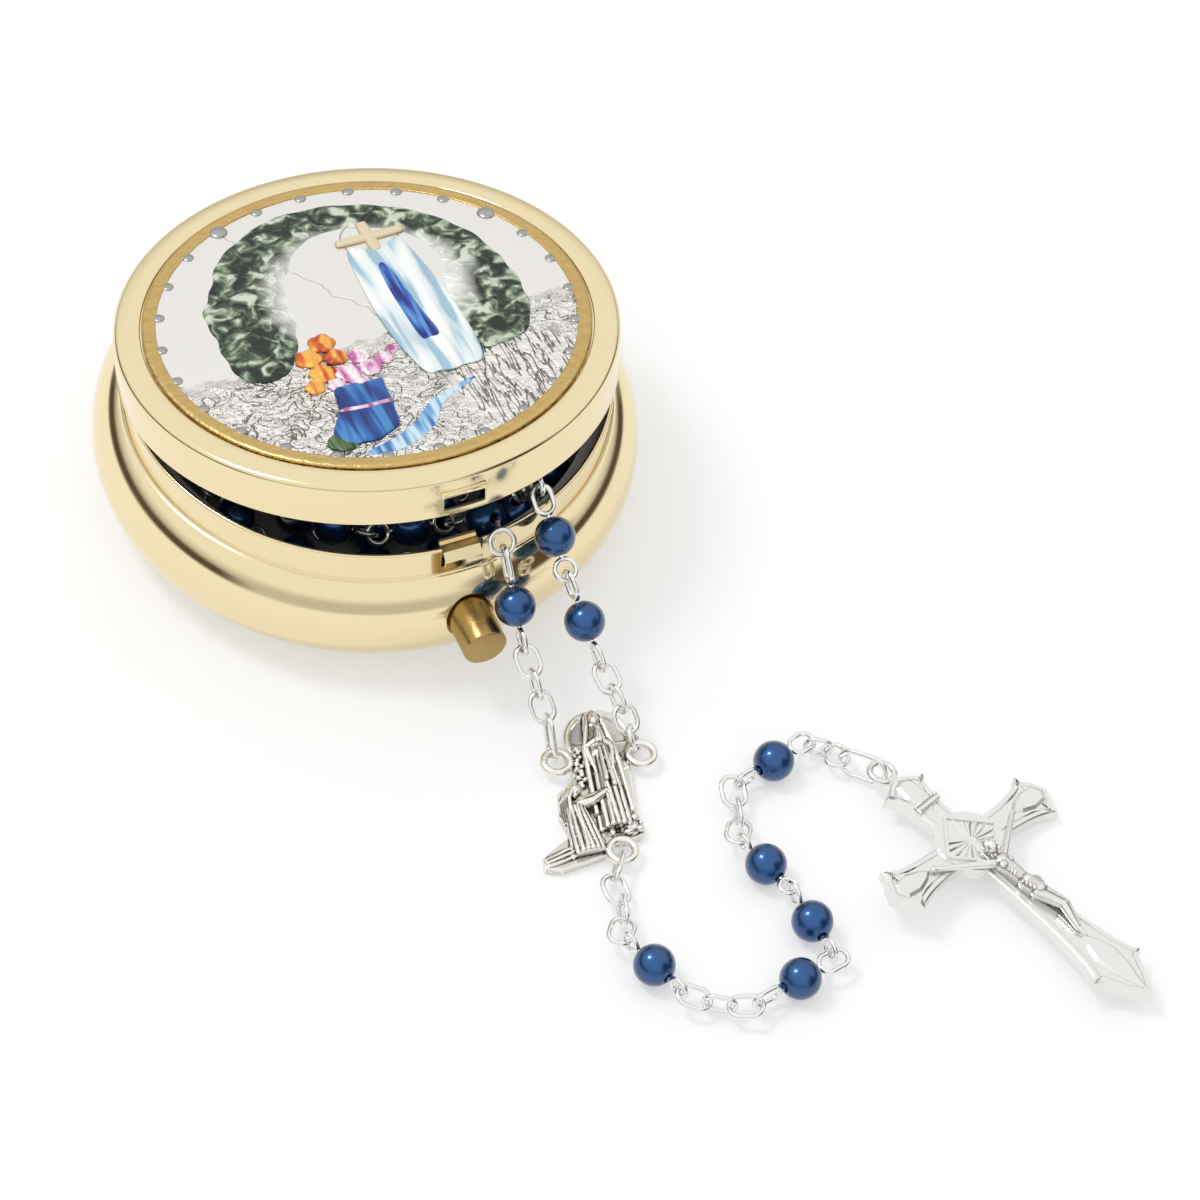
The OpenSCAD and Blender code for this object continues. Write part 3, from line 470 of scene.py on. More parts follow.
# The hill's ridge inside the arch, a line that wavers a little
ridge_off = sums(tree, "ADD", sums(tree, "ADD", axes.outputs["Y"], sums(tree, "MULTIPLY",
                 axes.outputs["X"], 1.75)), sums(tree, "MULTIPLY", wander.outputs["Fac"], -5.0))
ridge = linked(tree, "ShaderNodeMapRange", Value=sums(tree, "ABSOLUTE", ridge_off),
               From_Min=0.3, From_Max=0.05)
lines = sums(tree, "MAXIMUM", lines, sums(tree, "MULTIPLY", ridge.outputs["Result"], 0.35))
rock_height = sums(tree, "MULTIPLY", rocks.outputs["Fac"], ground.outputs["Result"])
height = sums(tree, "ADD", sums(tree, "MULTIPLY", rock_height, 0.8),
              sums(tree, "MULTIPLY", grain.outputs["Fac"], 0.03))
height = sums(tree, "SUBTRACT", height, sums(tree, "MULTIPLY", lines, 0.12))
struck = linked(tree, "ShaderNodeBump", Height=height, Strength=1.0, Distance=0.0006)
tree.links.new(struck.outputs["Normal"], sheet_shader.inputs["Normal"])
# Darkened hollows of the ground
hollow = linked(tree, "ShaderNodeMapRange", Value=rocks.outputs["Fac"], From_Min=0.34,
                From_Max=0.42)
dim = sums(tree, "MULTIPLY", sums(tree, "SUBTRACT", 1.0, hollow.outputs["Result"]), 0.35)
dim = sums(tree, "MAXIMUM", sums(tree, "MULTIPLY", dim, ground.outputs["Result"]), lines)
shade = tree.nodes.new("ShaderNodeMix")
shade.data_type = "RGBA"
shade.inputs["A"].default_value = (*sheet_tone, 1)
shade.inputs["B"].default_value = (0.20, 0.18, 0.15, 1)
tree.links.new(dim, shade.inputs["Factor"])
tree.links.new(shade.outputs["Result"], sheet_shader.inputs["Base Color"])
wears(plate, silver_sheet)
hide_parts("picture_plate")
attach(plate, "lid")


def joined(name, pieces):
    """Makes one piece of several."""
    only(pieces[0])
    for piece in pieces:
        piece.select_set(True)
    bpy.ops.object.join()
    pieces[0].name = name
    return pieces[0]


# Struck beads round the edge, half under the bezel
edge_beads = []
bead_count = 26
edge_row_r = 0.0203
for i in range(bead_count):
    turn = 2 * math.pi * (i + 0.35) / bead_count
    size = 0.95 if i in (2, 8) else 0.6
    bpy.ops.object.select_all(action="DESELECT")
    bpy.ops.mesh.primitive_uv_sphere_add(
        segments=20, ring_count=10, radius=size / 1000,
        location=(edge_row_r * math.cos(turn), edge_row_r * math.sin(turn), picture_top / 1000))
    edge_bead = bpy.context.object
    edge_bead.scale = (1, 1, 0.32)
    bpy.ops.object.transform_apply(location=True, rotation=True, scale=True)
    edge_beads.append(edge_bead)
edge_row = joined("edge_beads", edge_beads)
bpy.ops.object.shade_smooth_by_angle(angle=math.radians(60))
stands_ajar(edge_row)
dark_silver = paint("dark_silver", (0.42, 0.41, 0.39), 1.0, 0.3)[0]
wears(edge_row, dark_silver)
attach(edge_row, "lid")


# ---------------------------------------------------------------------------
# Arch of the picture. Printed dark green over a struck relief of rocks and
# leaves: a broad arch, thick at the left, that frames the middle.
# ---------------------------------------------------------------------------

def drawn(name, points, z):
    """A flat shape from its (x, y) points in mm, left in edit mode with its face selected."""
    bpy.ops.object.select_all(action="DESELECT")
    bpy.ops.mesh.primitive_plane_add(size=0.001)
    piece = bpy.context.object
    piece.name = name
    bpy.ops.object.mode_set(mode="EDIT")
    bpy.ops.mesh.merge(type="CENTER")
    bpy.ops.transform.translate(value=(points[0][0] / 1000, points[0][1] / 1000, z / 1000))
    for (x0, y0), (x1, y1) in zip(points, points[1:]):
        step = ((x1 - x0) / 1000, (y1 - y0) / 1000, 0)
        bpy.ops.mesh.extrude_vertices_move(TRANSFORM_OT_translate={"value": step})
    bpy.ops.mesh.select_all(action="SELECT")
    bpy.ops.mesh.edge_face_add()
    bpy.ops.mesh.normals_make_consistent(inside=False)
    return piece


def raised(name, points, rise, inset=0.35, rounds=2):
    """A pillowy relief on the picture plate, round at its edges."""
    piece = drawn(name, points, picture_top - 0.05)
    bpy.ops.mesh.extrude_region_move(
        TRANSFORM_OT_translate={"value": (0, 0, (0.05 + rise * 0.4) / 1000)})
    bpy.ops.mesh.inset(thickness=inset / 1000)
    bpy.ops.transform.translate(value=(0, 0, rise * 0.6 / 1000))
    bpy.ops.mesh.quads_convert_to_tris(ngon_method="BEAUTY")
    bpy.ops.mesh.tris_convert_to_quads()
    bpy.ops.mesh.select_all(action="SELECT")
    bpy.ops.mesh.normals_make_consistent(inside=False)
    bpy.ops.object.mode_set(mode="OBJECT")
    soft = piece.modifiers.new("soft", "SUBSURF")
    soft.levels = rounds
    bpy.ops.object.modifier_apply(modifier=soft.name)
    bpy.ops.object.shade_smooth()
    return piece


arch_outer = [
    (-13.6, -5.5), (-14.2, -3.9), (-15.1, -2.6), (-14.6, -1), (-15.2, 0.8), (-14.4, 2.4),
    (-15, 3.9), (-14.5, 5.6), (-14.9, 7), (-13.4, 8.2), (-13.1, 9.8), (-11.9, 10.8),
    (-11.7, 12.6), (-10.3, 13.9), (-9.2, 15.4), (-7.5, 16), (-6.2, 17.3), (-4.3, 17.9),
    (-2.1, 18.7), (0.4, 18.2), (2.4, 18.5), (4.6, 17.4), (6.5, 17.1), (8, 15.8), (9.8, 15.1),
    (11.1, 13.4), (12.7, 12.1), (13.6, 10), (15, 8.4), (15.1, 6), (16, 4.2), (15.7, 2),
    (16.4, 0.2), (15.6, -2), (16, -3.6), (15, -5.2), (14.4, -7), (13, -8.4)]
arch_inner = [
    (7.2, -9), (7.8, -7), (7.2, -5.2), (8.2, -3), (8.1, -0.6), (9.4, 1.4), (9.7, 3.6),
    (10.7, 5.4), (10.5, 7.4), (9.9, 9.6), (8.8, 11.2), (7.4, 12.7), (5.6, 13.4), (3.2, 14.5),
    (1, 14.5), (-0.8, 14.3), (-2.4, 13.2), (-3.8, 12), (-4.4, 10.3), (-5.8, 8.4), (-6.2, 6),
    (-7, 3.9), (-6.6, 1.7), (-7.8, 0.2), (-7.7, -1.7), (-9.1, -3.2), (-9.8, -5.4)]
arch = raised("green_arch", arch_outer + arch_inner, 0.12)
stands_ajar(arch)

arch_print, arch_shader = paint("green_print", (0.05, 0.08, 0.05), 0.25, 0.4)
tree = arch_print.node_tree
spot = tree.nodes.new("ShaderNodeGroup")
spot.node_tree = lid_place
place = spot.outputs["Place"]
warp = linked(tree, "ShaderNodeTexNoise", Vector=place, Scale=0.4, Detail=1.0)
bent = tree.nodes.new("ShaderNodeVectorMath")
bent.operation = "ADD"
tree.links.new(place, bent.inputs[0])
tree.links.new(warp.outputs["Color"], bent.inputs[1])
leaves = linked(tree, "ShaderNodeTexNoise", Vector=bent.outputs["Vector"], Scale=0.62, Detail=2.6,
                Roughness=0.5, Distortion=0.9)
tones = tree.nodes.new("ShaderNodeValToRGB")
tones.color_ramp.elements[0].position = 0.4
tones.color_ramp.elements[0].color = (0.014, 0.020, 0.013, 1)
tones.color_ramp.elements[1].position = 0.64
tones.color_ramp.elements[1].color = (0.62, 0.66, 0.56, 1)
middle = tones.color_ramp.elements.new(0.49)
middle.color = (0.07, 0.10, 0.065, 1)
light = tones.color_ramp.elements.new(0.56)
light.color = (0.24, 0.31, 0.20, 1)
tree.links.new(leaves.outputs["Fac"], tones.inputs["Fac"])
# The print pales towards the light in the middle of the arch
from_light = tree.nodes.new("ShaderNodeVectorMath")
from_light.operation = "DISTANCE"
tree.links.new(place, from_light.inputs[0])
from_light.inputs[1].default_value = (1.8, 4, lid_z)
ragged = sums(tree, "ADD", from_light.outputs["Value"],
              sums(tree, "MULTIPLY", warp.outputs["Fac"], 3.0))
paling = linked(tree, "ShaderNodeMapRange", Value=ragged, From_Min=12.6, From_Max=9.6)
arch_tone = tree.nodes.new("ShaderNodeMix")
arch_tone.data_type = "RGBA"
arch_tone.inputs["B"].default_value = (0.86, 0.86, 0.82, 1)
tree.links.new(paling.outputs["Result"], arch_tone.inputs["Factor"])
tree.links.new(tones.outputs["Color"], arch_tone.inputs["A"])
tree.links.new(arch_tone.outputs["Result"], arch_shader.inputs["Base Color"])
struck = linked(tree, "ShaderNodeBump", Height=leaves.outputs["Fac"], Strength=0.8, Distance=0.0006)
tree.links.new(struck.outputs["Normal"], arch_shader.inputs["Normal"])
wears(arch, arch_print)
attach(arch, "lid")


# ---------------------------------------------------------------------------
# Middle of the picture. A tall plain cross hung with a white cloth and a blue
# sash, printed in pale colours on the relief, with a struck halo round its top.
# ---------------------------------------------------------------------------

cloth = raised("white_cloth", [
    (2.0, 11.6), (1.5, 8.6), (1.2, 4.4), (0.9, 0.2), (1.2, -4.6), (2.0, -10.8), (3.4, -9.9),
    (4.8, -10.7), (6.4, -10), (8.4, -10.8), (8.9, -6), (8.9, -0.6), (8.5, 5), (8.0, 8.8),
    (7.7, 11.6), (6.6, 10.4), (4.8, 9.8), (3.1, 10.4)], 0.34, 0.5)


def bar_outline(x0, y0, x1, y1):
    """Outline of a square-ended bar, with a pair of points at each corner to keep it."""
    soft = 0.16
    return [(x0, y1 - soft), (x0, y0 + soft), (x0 + soft, y0), (x1 - soft, y0),
            (x1, y0 + soft), (x1, y1 - soft), (x1 - soft, y1), (x0 + soft, y1)]


beam = raised("cross_beam", bar_outline(4.15, 9.2, 5.45, 14.2), 0.42, 0.25)
bar = raised("cross_bar", bar_outline(1.2, 11.2, 8.4, 12.4), 0.4, 0.25)
sash = raised("blue_sash", [
    (3.7, 7.6), (3.4, 5.2), (3.2, 1.2), (3.3, -2.6), (3.4, -6.4), (4.4, -5.4),
    (6.2, -6.2), (5.5, -1.8), (5.4, 2.6), (5.0, 7.8)], 0.44, 0.3)


def folds(made, shader, colours, scale, turned_by, depth):
    """Soft upright folds in a printed cloth: darker in the furrows, with a relief."""
    tree = made.node_tree
    spot = tree.nodes.new("ShaderNodeGroup")
    spot.node_tree = lid_place
    swung = linked(tree, "ShaderNodeMapping", Vector=spot.outputs["Place"],
                   Rotation=(0, 0, math.radians(turned_by)), Scale=(1, 0.12, 1))
    waves = linked(tree, "ShaderNodeTexNoise", Vector=swung.outputs["Vector"], Scale=scale,
                   Detail=1.5, Roughness=0.4, Distortion=0.4)
    tones = tree.nodes.new("ShaderNodeValToRGB")
    tones.color_ramp.elements[0].position = 0.38
    tones.color_ramp.elements[0].color = (*colours[0], 1)
    tones.color_ramp.elements[1].position = 0.6
    tones.color_ramp.elements[1].color = (*colours[-1], 1)
    if len(colours) == 3:
        middle = tones.color_ramp.elements.new(0.48)
        middle.color = (*colours[1], 1)
    tree.links.new(waves.outputs["Fac"], tones.inputs["Fac"])
    tree.links.new(tones.outputs["Color"], shader.inputs["Base Color"])
    struck = linked(tree, "ShaderNodeBump", Height=waves.outputs["Fac"], Strength=0.7,
                    Distance=depth)
    tree.links.new(struck.outputs["Normal"], shader.inputs["Normal"])


cloth_print, cloth_shader = paint("cloth_print", (0.8, 0.85, 0.88), 0.15, 0.35)
folds(cloth_print, cloth_shader, [(0.34, 0.52, 0.62), (0.72, 0.80, 0.83), (0.88, 0.90, 0.88)],
      0.85, 0, 0.0006)
sash_print, sash_shader = paint("sash_print", (0.02, 0.06, 0.4), 0.15, 0.3)
folds(sash_print, sash_shader, [(0.01, 0.02, 0.16), (0.015, 0.06, 0.38), (0.10, 0.30, 0.62)],
      1.3, 0, 0.0004)
cross_print, cross_print_shader = paint("cross_print", (0.72, 0.62, 0.42), 0.2, 0.4)
handled(cross_print, cross_print_shader, 900, 0.3, 0.5, 0.3)
for piece, finish in ((cloth, cloth_print), (beam, cross_print), (bar, cross_print),
                      (sash, sash_print)):
    stands_ajar(piece)
    wears(piece, finish)
    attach(piece, "lid")

bpy.ops.object.select_all(action="DESELECT")
bpy.ops.mesh.primitive_torus_add(
    major_radius=0.0029, minor_radius=0.00007, major_segments=64, minor_segments=8,
    location=(0.0048, 0.0117, picture_top / 1000))
halo = bpy.context.object
halo.name = "struck_halo"
bpy.ops.object.transform_apply(location=True, rotation=True, scale=True)
bpy.ops.object.shade_smooth()
stands_ajar(halo)
wears(halo, dark_silver)
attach(halo, "lid")


# ---------------------------------------------------------------------------
# Flowers of the picture. A bunch in blue paper at the lower left, orange
# blooms at its head and a spray of pink ones to the right, green at its foot.
# ---------------------------------------------------------------------------

wrap = raised("blue_paper", [
    (-6.9, -8), (-7.2, -10), (-7.4, -11.6), (-8.6, -13.6), (-9.6, -15), (-9.0, -16.4),
    (-8.4, -17.3), (-7.0, -16.9), (-5.6, -17.5), (-4.2, -16.5), (-2.7, -16.2), (-2.6, -14),
    (-2.1, -12), (-2.2, -10), (-1.6, -8.4), (-3.0, -9.1), (-4.4, -8.2), (-5.6, -8.9)], 0.4, 0.5)
tie = raised("paper_tie", [(-7.6, -11.6), (-5.0, -12.3), (-2.0, -12.0), (-1.9, -12.8),
                           (-5.0, -13.1), (-8.0, -12.5)], 0.5, 0.2, 1)
leaf = raised("green_leaf", [(-9.3, -14.4), (-11, -16.2), (-9, -18), (-7.2, -17.2), (-8, -15.4)],
              0.3, 0.4)
paper_print, paper_shader = paint("paper_print", (0.02, 0.1, 0.42), 0.15, 0.3)
folds(paper_print, paper_shader, [(0.008, 0.03, 0.17), (0.015, 0.09, 0.36), (0.06, 0.24, 0.55)],
      0.9, 12, 0.0006)
pink_print, pink_shader = paint("pink_print", (0.8, 0.5, 0.65), 0.15, 0.35)
folds(pink_print, pink_shader, [(0.50, 0.10, 0.32), (0.82, 0.52, 0.68), (0.88, 0.84, 0.84)],
      0.9, 70, 0.0002)
orange_print, orange_shader = paint("orange_print", (0.7, 0.15, 0.02), 0.15, 0.35)
folds(orange_print, orange_shader, [(0.42, 0.05, 0.01), (0.66, 0.14, 0.015), (0.88, 0.44, 0.08)],
      0.9, -10, 0.0002)
leaf_print, leaf_shader = paint("leaf_print", (0.05, 0.12, 0.04), 0.15, 0.4)
folds(leaf_print, leaf_shader, [(0.02, 0.06, 0.02), (0.14, 0.24, 0.10)], 2.0, 30, 0.0004)


def bloom(at, size, petals, turn):
    """An open flower on the plate: a ring of petals, a dished middle and its bud."""
    around = []
    for step in range(petals * 6):
        t = 2 * math.pi * step / (petals * 6)
        reach = size * (0.82 + 0.18 * abs(math.cos(petals * t / 2)) ** 0.6 + 0.02 * math.sin(3 * t))
        around.append((at[0] + reach * math.cos(t + turn), at[1] + reach * math.sin(t + turn)))
    open_flower = raised("bloom", around, 0.34, size * 0.4, 1)
    inner = []
    for step in range(petals * 4):
        t = 2 * math.pi * step / (petals * 4)
        reach = size * 0.5 * (0.8 + 0.2 * abs(math.cos(petals * t / 2)))
        inner.append((at[0] + reach * math.cos(t + turn + 0.5),
                      at[1] + reach * math.sin(t + turn + 0.5)))
    bud = raised("bud", inner, 0.46, size * 0.2, 1)
    return joined("bloom", [open_flower, bud])


orange_places = [(-5.5, -1.9, 1.5), (-7.5, -3.6, 1.5), (-5.0, -4.3, 1.3), (-7.0, -6.2, 1.5),
                 (-8.4, -7.8, 1.1)]
pink_places = [(-4.6, -7.0, 1.5), (-2.4, -7.0, 1.3), (-0.7, -6.2, 1.0), (-2.8, -5.0, 1.2),
               (-6.4, -8.2, 1.0), (-4.2, -9.0, 1.1), (0.5, -5.2, 0.7)]
orange_bunch = joined("orange_blooms", [
    bloom((x, y), size, 5, 0.7 * x) for x, y, size in orange_places])
pink_bunch = joined("pink_blooms", [
    bloom((x, y), size, 6, 0.9 * y) for x, y, size in pink_places])
for piece, finish in ((wrap, paper_print), (tie, pink_print), (pink_bunch, pink_print),
                      (orange_bunch, orange_print), (leaf, leaf_print)):
    stands_ajar(piece)
    wears(piece, finish)
    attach(piece, "lid")


# ---------------------------------------------------------------------------
# Stream and stones of the picture. A light-blue stream printed flat that runs
# down between struck boulders to the front edge.
# ---------------------------------------------------------------------------

stream = raised("blue_stream", [
    (7.6, -11.6), (4.6, -13.2), (1.6, -14.4), (1, -16.6), (-1.4, -18.4), (-4.4, -19.6),
    (-8.4, -18.6), (-6.4, -18), (-3, -17.2), (-0.6, -15.4), (0.8, -13.6), (4.2, -12.4)],
    0.05, 0.12)
stream_print, stream_shader = paint("stream_print", (0.2, 0.45, 0.75), 0.2, 0.3)
folds(stream_print, stream_shader, [(0.05, 0.16, 0.42), (0.20, 0.44, 0.70), (0.62, 0.76, 0.84)],
      1.2, 65, 0.0003)
stands_ajar(stream)
wears(stream, stream_print)
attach(stream, "lid")


# ---------------------------------------------------------------------------
# Beads. Glass pearls of the rosary, deep blue under a clear lacquer, drilled
# through; the drill has chipped a little funnel at each end of the hole.
# ---------------------------------------------------------------------------

bead_r = 2.0
hole_r = 0.5
funnel_turn = 71
one_bead = turned("one_bead", [(hole_r, -1.76), (hole_r, 1.76), (0.54, 1.84)]
                  + ellipse(0, 0, bead_r, bead_r, funnel_turn, -funnel_turn, 24)
                  + [(0.54, -1.84), (hole_r, -1.76)], 40)
pearl_blue, pearl_shader = paint("pearl_blue", (0.010, 0.085, 0.32), 0.8, 0.34)
pearl_shader.inputs["Coat Weight"].default_value = 1.0
pearl_shader.inputs["Coat Roughness"].default_value = 0.05
tree = pearl_blue.node_tree
edge_on = linked(tree, "ShaderNodeLayerWeight", Blend=0.5)
pearl_tones = tree.nodes.new("ShaderNodeMix")
pearl_tones.data_type = "RGBA"
pearl_tones.inputs["A"].default_value = (0.006, 0.082, 0.27, 1)
pearl_tones.inputs["B"].default_value = (0.002, 0.014, 0.075, 1)
tree.links.new(edge_on.outputs["Facing"], pearl_tones.inputs["Factor"])
tree.links.new(pearl_tones.outputs["Result"], pearl_shader.inputs["Base Color"])
wears(one_bead, pearl_blue)


def strung(cad_name, body):
    """Puts a pearl on the place and bore of each bead of a CAD node."""
    only(node[cad_name])
    bpy.ops.object.duplicate()
    bpy.ops.object.mode_set(mode="EDIT")
    bpy.ops.mesh.select_all(action="SELECT")
    bpy.ops.mesh.remove_doubles(threshold=1e-6)
    bpy.ops.mesh.separate(type="LOOSE")
    bpy.ops.object.mode_set(mode="OBJECT")
    pearls = []
    for rough in list(bpy.context.selected_objects):
        corners = [Vector(corner) for corner in rough.bound_box]
        centre = (corners[0] + corners[6]) / 2
        bore = [face.normal.copy() for face in rough.data.polygons
                if (face.center - centre).length < 0.8 * bead_r / 1000]
        across = min(bore, key=lambda normal: abs(normal.dot(bore[0])))
        way = bore[0].cross(across)
        bpy.data.objects.remove(rough)
        only(one_bead)
        bpy.ops.object.duplicate()
        pearl = bpy.context.object
        pearl.rotation_euler = way.to_track_quat("Z", "Y").to_euler()
        pearl.location = centre
        bpy.ops.object.transform_apply(location=True, rotation=True, scale=True)
        pearls.append(pearl)
    row = joined(cad_name + "_pearls", pearls)
    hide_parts(cad_name)
    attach(row, body)


for name in ("stored_beads", "left_inner_bead", "left_outer_bead", "right_inner_bead",
             "right_upper_bead", "right_lower_bead"):
    strung(name, "box")
for name, body in (("pendant_bead_1", "pendant_foot"), ("pendant_bead_2", "pendant_lower"),
                   ("pendant_bead_3", "pendant_turn"), ("pendant_bead_4", "pendant_upper"),
                   ("pendant_bead_5", "pendant_head")):
    strung(name, body)
bpy.data.objects.remove(one_bead)


# ---------------------------------------------------------------------------
# Chain. Links, eye pins and jump rings bent from bright silver-plated wire.
# ---------------------------------------------------------------------------

bright_silver, bright_shader = paint("bright_silver", (0.86, 0.86, 0.85), 1.0, 0.14)
handled(bright_silver, bright_shader, 600, 0.1, 0.2)
for name, piece in node.items():
    wire = "_pin" in name or "link" in name or "jump" in name
    if wire and name != "hinge_pin":
        wears(piece, bright_silver)


# ---------------------------------------------------------------------------
# Centre medal. Cast in old silver: a halo plate, a standing veiled figure and
# a kneeling one before it, and three rings for the chains. The hollows are
# blackened and the high places rubbed bright.
# ---------------------------------------------------------------------------

def egg(at, size, turn=(0, 0, 0)):
    """A round lump of a casting: its centre and half axes in mm, its turn in degrees."""
    bpy.ops.object.select_all(action="DESELECT")
    bpy.ops.mesh.primitive_uv_sphere_add(
        segments=32, ring_count=16, radius=0.001, location=[c / 1000 for c in at],
        rotation=[math.radians(t) for t in turn])
    piece = bpy.context.object
    piece.scale = size
    bpy.ops.object.transform_apply(location=True, rotation=True, scale=True)
    return piece


def limb(a, b, ra, rb, round_end=True):
    """A tapered bar of a casting between two points in mm, round at both ends or only the first."""
    start = Vector(a) / 1000
    stop = Vector(b) / 1000
    bpy.ops.object.select_all(action="DESELECT")
    bpy.ops.mesh.primitive_cone_add(
        vertices=28, radius1=ra / 1000, radius2=rb / 1000, depth=(stop - start).length,
        location=(start + stop) / 2, rotation=(stop - start).to_track_quat("Z", "Y").to_euler())
    bar = bpy.context.object
    bpy.ops.object.transform_apply(location=True, rotation=True, scale=True)
    ends = [egg(a, (ra, ra, ra))]
    if round_end:
        ends.append(egg(b, (rb, rb, rb)))
    return joined("limb", [bar] + ends)


def cast(name, parts, grain):
    """Melts lumps, at 100 times size, into one casting with a flat back and marked hollows."""
    piece = joined(name, parts)
    bpy.ops.object.mode_set(mode="EDIT")
    bpy.ops.mesh.select_all(action="SELECT")
    bpy.ops.transform.resize(value=(100, 100, 100), center_override=(0, 0, 0))
    bpy.ops.object.mode_set(mode="OBJECT")
    melt = piece.modifiers.new("melt", "REMESH")
    melt.mode = "VOXEL"
    melt.voxel_size = grain / 10
    bpy.ops.object.modifier_apply(modifier=melt.name)
    soften = piece.modifiers.new("soften", "SMOOTH")
    soften.factor = 0.5
    soften.iterations = 2
    bpy.ops.object.modifier_apply(modifier=soften.name)
    bpy.ops.object.mode_set(mode="EDIT")
    bpy.ops.mesh.select_all(action="SELECT")
    bpy.ops.mesh.bisect(plane_co=(0, 0, 0.001), plane_no=(0, 0, 1), use_fill=True,
                        clear_inner=True)
    bpy.ops.mesh.select_all(action="SELECT")
    bpy.ops.transform.resize(value=(0.01, 0.01, 0.01), center_override=(0, 0, 0))
    bpy.ops.mesh.normals_make_consistent(inside=False)
    bpy.ops.object.mode_set(mode="OBJECT")
    bpy.ops.object.shade_smooth_by_angle(angle=math.radians(50))
    bpy.ops.object.mode_set(mode="VERTEX_PAINT")
    bpy.ops.paint.vertex_color_dirt(blur_strength=0.6, blur_iterations=1)
    bpy.ops.object.mode_set(mode="OBJECT")
    return piece


def eyelet(at, radius, wire):
    """A cast ring that lies flat: its centre, its radius to the wire's middle and the wire's."""
    bpy.ops.object.select_all(action="DESELECT")
    bpy.ops.mesh.primitive_torus_add(
        major_radius=radius / 1000, minor_radius=wire / 1000, major_segments=64,
        minor_segments=20, location=[c / 1000 for c in at])
    piece = bpy.context.object
    bpy.ops.object.transform_apply(location=True, rotation=True, scale=True)
    return piece


def slab(points, low, high):
    """A flat plate between two heights in mm, from its outline."""
    piece = drawn("slab", points, low)
    bpy.ops.mesh.extrude_region_move(TRANSFORM_OT_translate={"value": (0, 0, (high - low) / 1000)})
    bpy.ops.mesh.select_all(action="SELECT")
    bpy.ops.mesh.normals_make_consistent(inside=False)
    bpy.ops.object.mode_set(mode="OBJECT")
    return piece


def laid(piece, at, turn):
    """Puts a finished casting at its place, and leaves it unturned and unscaled there."""
    only(piece)
    piece.location = [c / 1000 for c in at]
    piece.rotation_euler = [math.radians(t) for t in turn]
    bpy.ops.object.transform_apply(location=True, rotation=True, scale=True)


halo_plate = turned("halo_plate", [(0, 0), (3.4, 0), (3.4, 0.95), (3.15, 1.12), (2.85, 1.0),
                                   (2.6, 0.82), (0, 0.7)], 64)
only(halo_plate)
halo_plate.location = (0.0004, 0.0026, 0)
bpy.ops.object.transform_apply(location=True, rotation=True, scale=True)
back_plate = slab([(-2.6, 2), (-2.9, -2), (-4.6, -3.4), (-4.9, -6), (-4.2, -8.4), (-7.2, -10.6),
                   (-7.3, -11.8), (-5.6, -12.2), (-1.2, -11), (-1.0, -9.6), (1.6, -9.6),
                   (2.6, -9.2), (3, -8.6), (2.6, -6.5), (2.9, -2), (3.1, 2)], 0, 0.95)


def robe(hip, hem, hip_r, hem_r, count, wide):
    """A round skirt from hip to hem with folds that lie along it, all in mm."""
    start = Vector(hip)
    stop = Vector(hem)
    across = (stop - start).cross(Vector((0, 0, 1))).normalized()
    parts = [limb(hip, hem, hip_r, hem_r, round_end=False)]
    for i in range(count):
        share = 0.9 * (2 * i / (count - 1) - 1)
        rise = math.sqrt(1 - share * share)
        top = start + hip_r * (share * across + rise * Vector((0, 0, 1)))
        foot = stop + hem_r * (share * across + rise * Vector((0, 0, 1)))
        bend = top.lerp(foot, 0.45 + 0.1 * math.sin(1.9 * i)) + wide * (
            0.7 * math.cos(2.3 * i) * across + 0.25 * math.sin(3.1 * i) * Vector((0, 0, 1)))
        parts.append(limb(top, bend, wide * 0.55, wide * 0.85))
        parts.append(limb(bend, foot, wide * 0.85, wide))
    return parts


standing = robe((0.1, 0.3, 0.85), (0.45, -8.1, 0.3), 1.25, 1.8, 7, 0.25) + [
    limb((0.1, 0.4, 1.0), (0.1, 3, 1.1), 1.3, 1.1),
    limb((0.1, 3.6, 1.1), (0.15, 4.7, 1.15), 1.1, 0.95), egg((0.1, 4.15, 1.95), (0.58, 0.78, 0.6)),
    egg((0.1, 4.1, 2.56), (0.09, 0.18, 0.1)), egg((-0.14, 4.3, 2.44), (0.12, 0.06, 0.08)),
    egg((0.34, 4.3, 2.44), (0.12, 0.06, 0.08)), egg((0.1, 3.82, 2.46), (0.15, 0.05, 0.07)),
    egg((0.1, 3.6, 2.32), (0.16, 0.12, 0.14)),
    limb((0.0, 1.5, 2.3), (0.12, 2.75, 2.4), 0.28, 0.13),
    limb((0.3, 1.5, 2.3), (0.2, 2.75, 2.4), 0.26, 0.13),
    limb((-1.15, 1.1, 1.6), (-0.05, 1.6, 2.2), 0.42, 0.28),
    limb((1.35, 1.1, 1.6), (0.35, 1.6, 2.2), 0.42, 0.28),
    limb((-1.15, 1.0, 1.7), (-0.75, -1.4, 1.9), 0.34, 0.16),
    limb((1.35, 1.0, 1.7), (1.05, -1.6, 1.85), 0.34, 0.16),
    egg((-0.15, -8.4, 0.9), (0.36, 0.5, 0.4)), egg((0.9, -8.45, 0.9), (0.36, 0.5, 0.4)),
    limb((0.45, 0.6, 2.3), (0.75, -3.9, 2.5), 0.16, 0.24),
    limb((0.05, 0.6, 2.3), (0.1, -3.2, 2.48), 0.14, 0.22)]
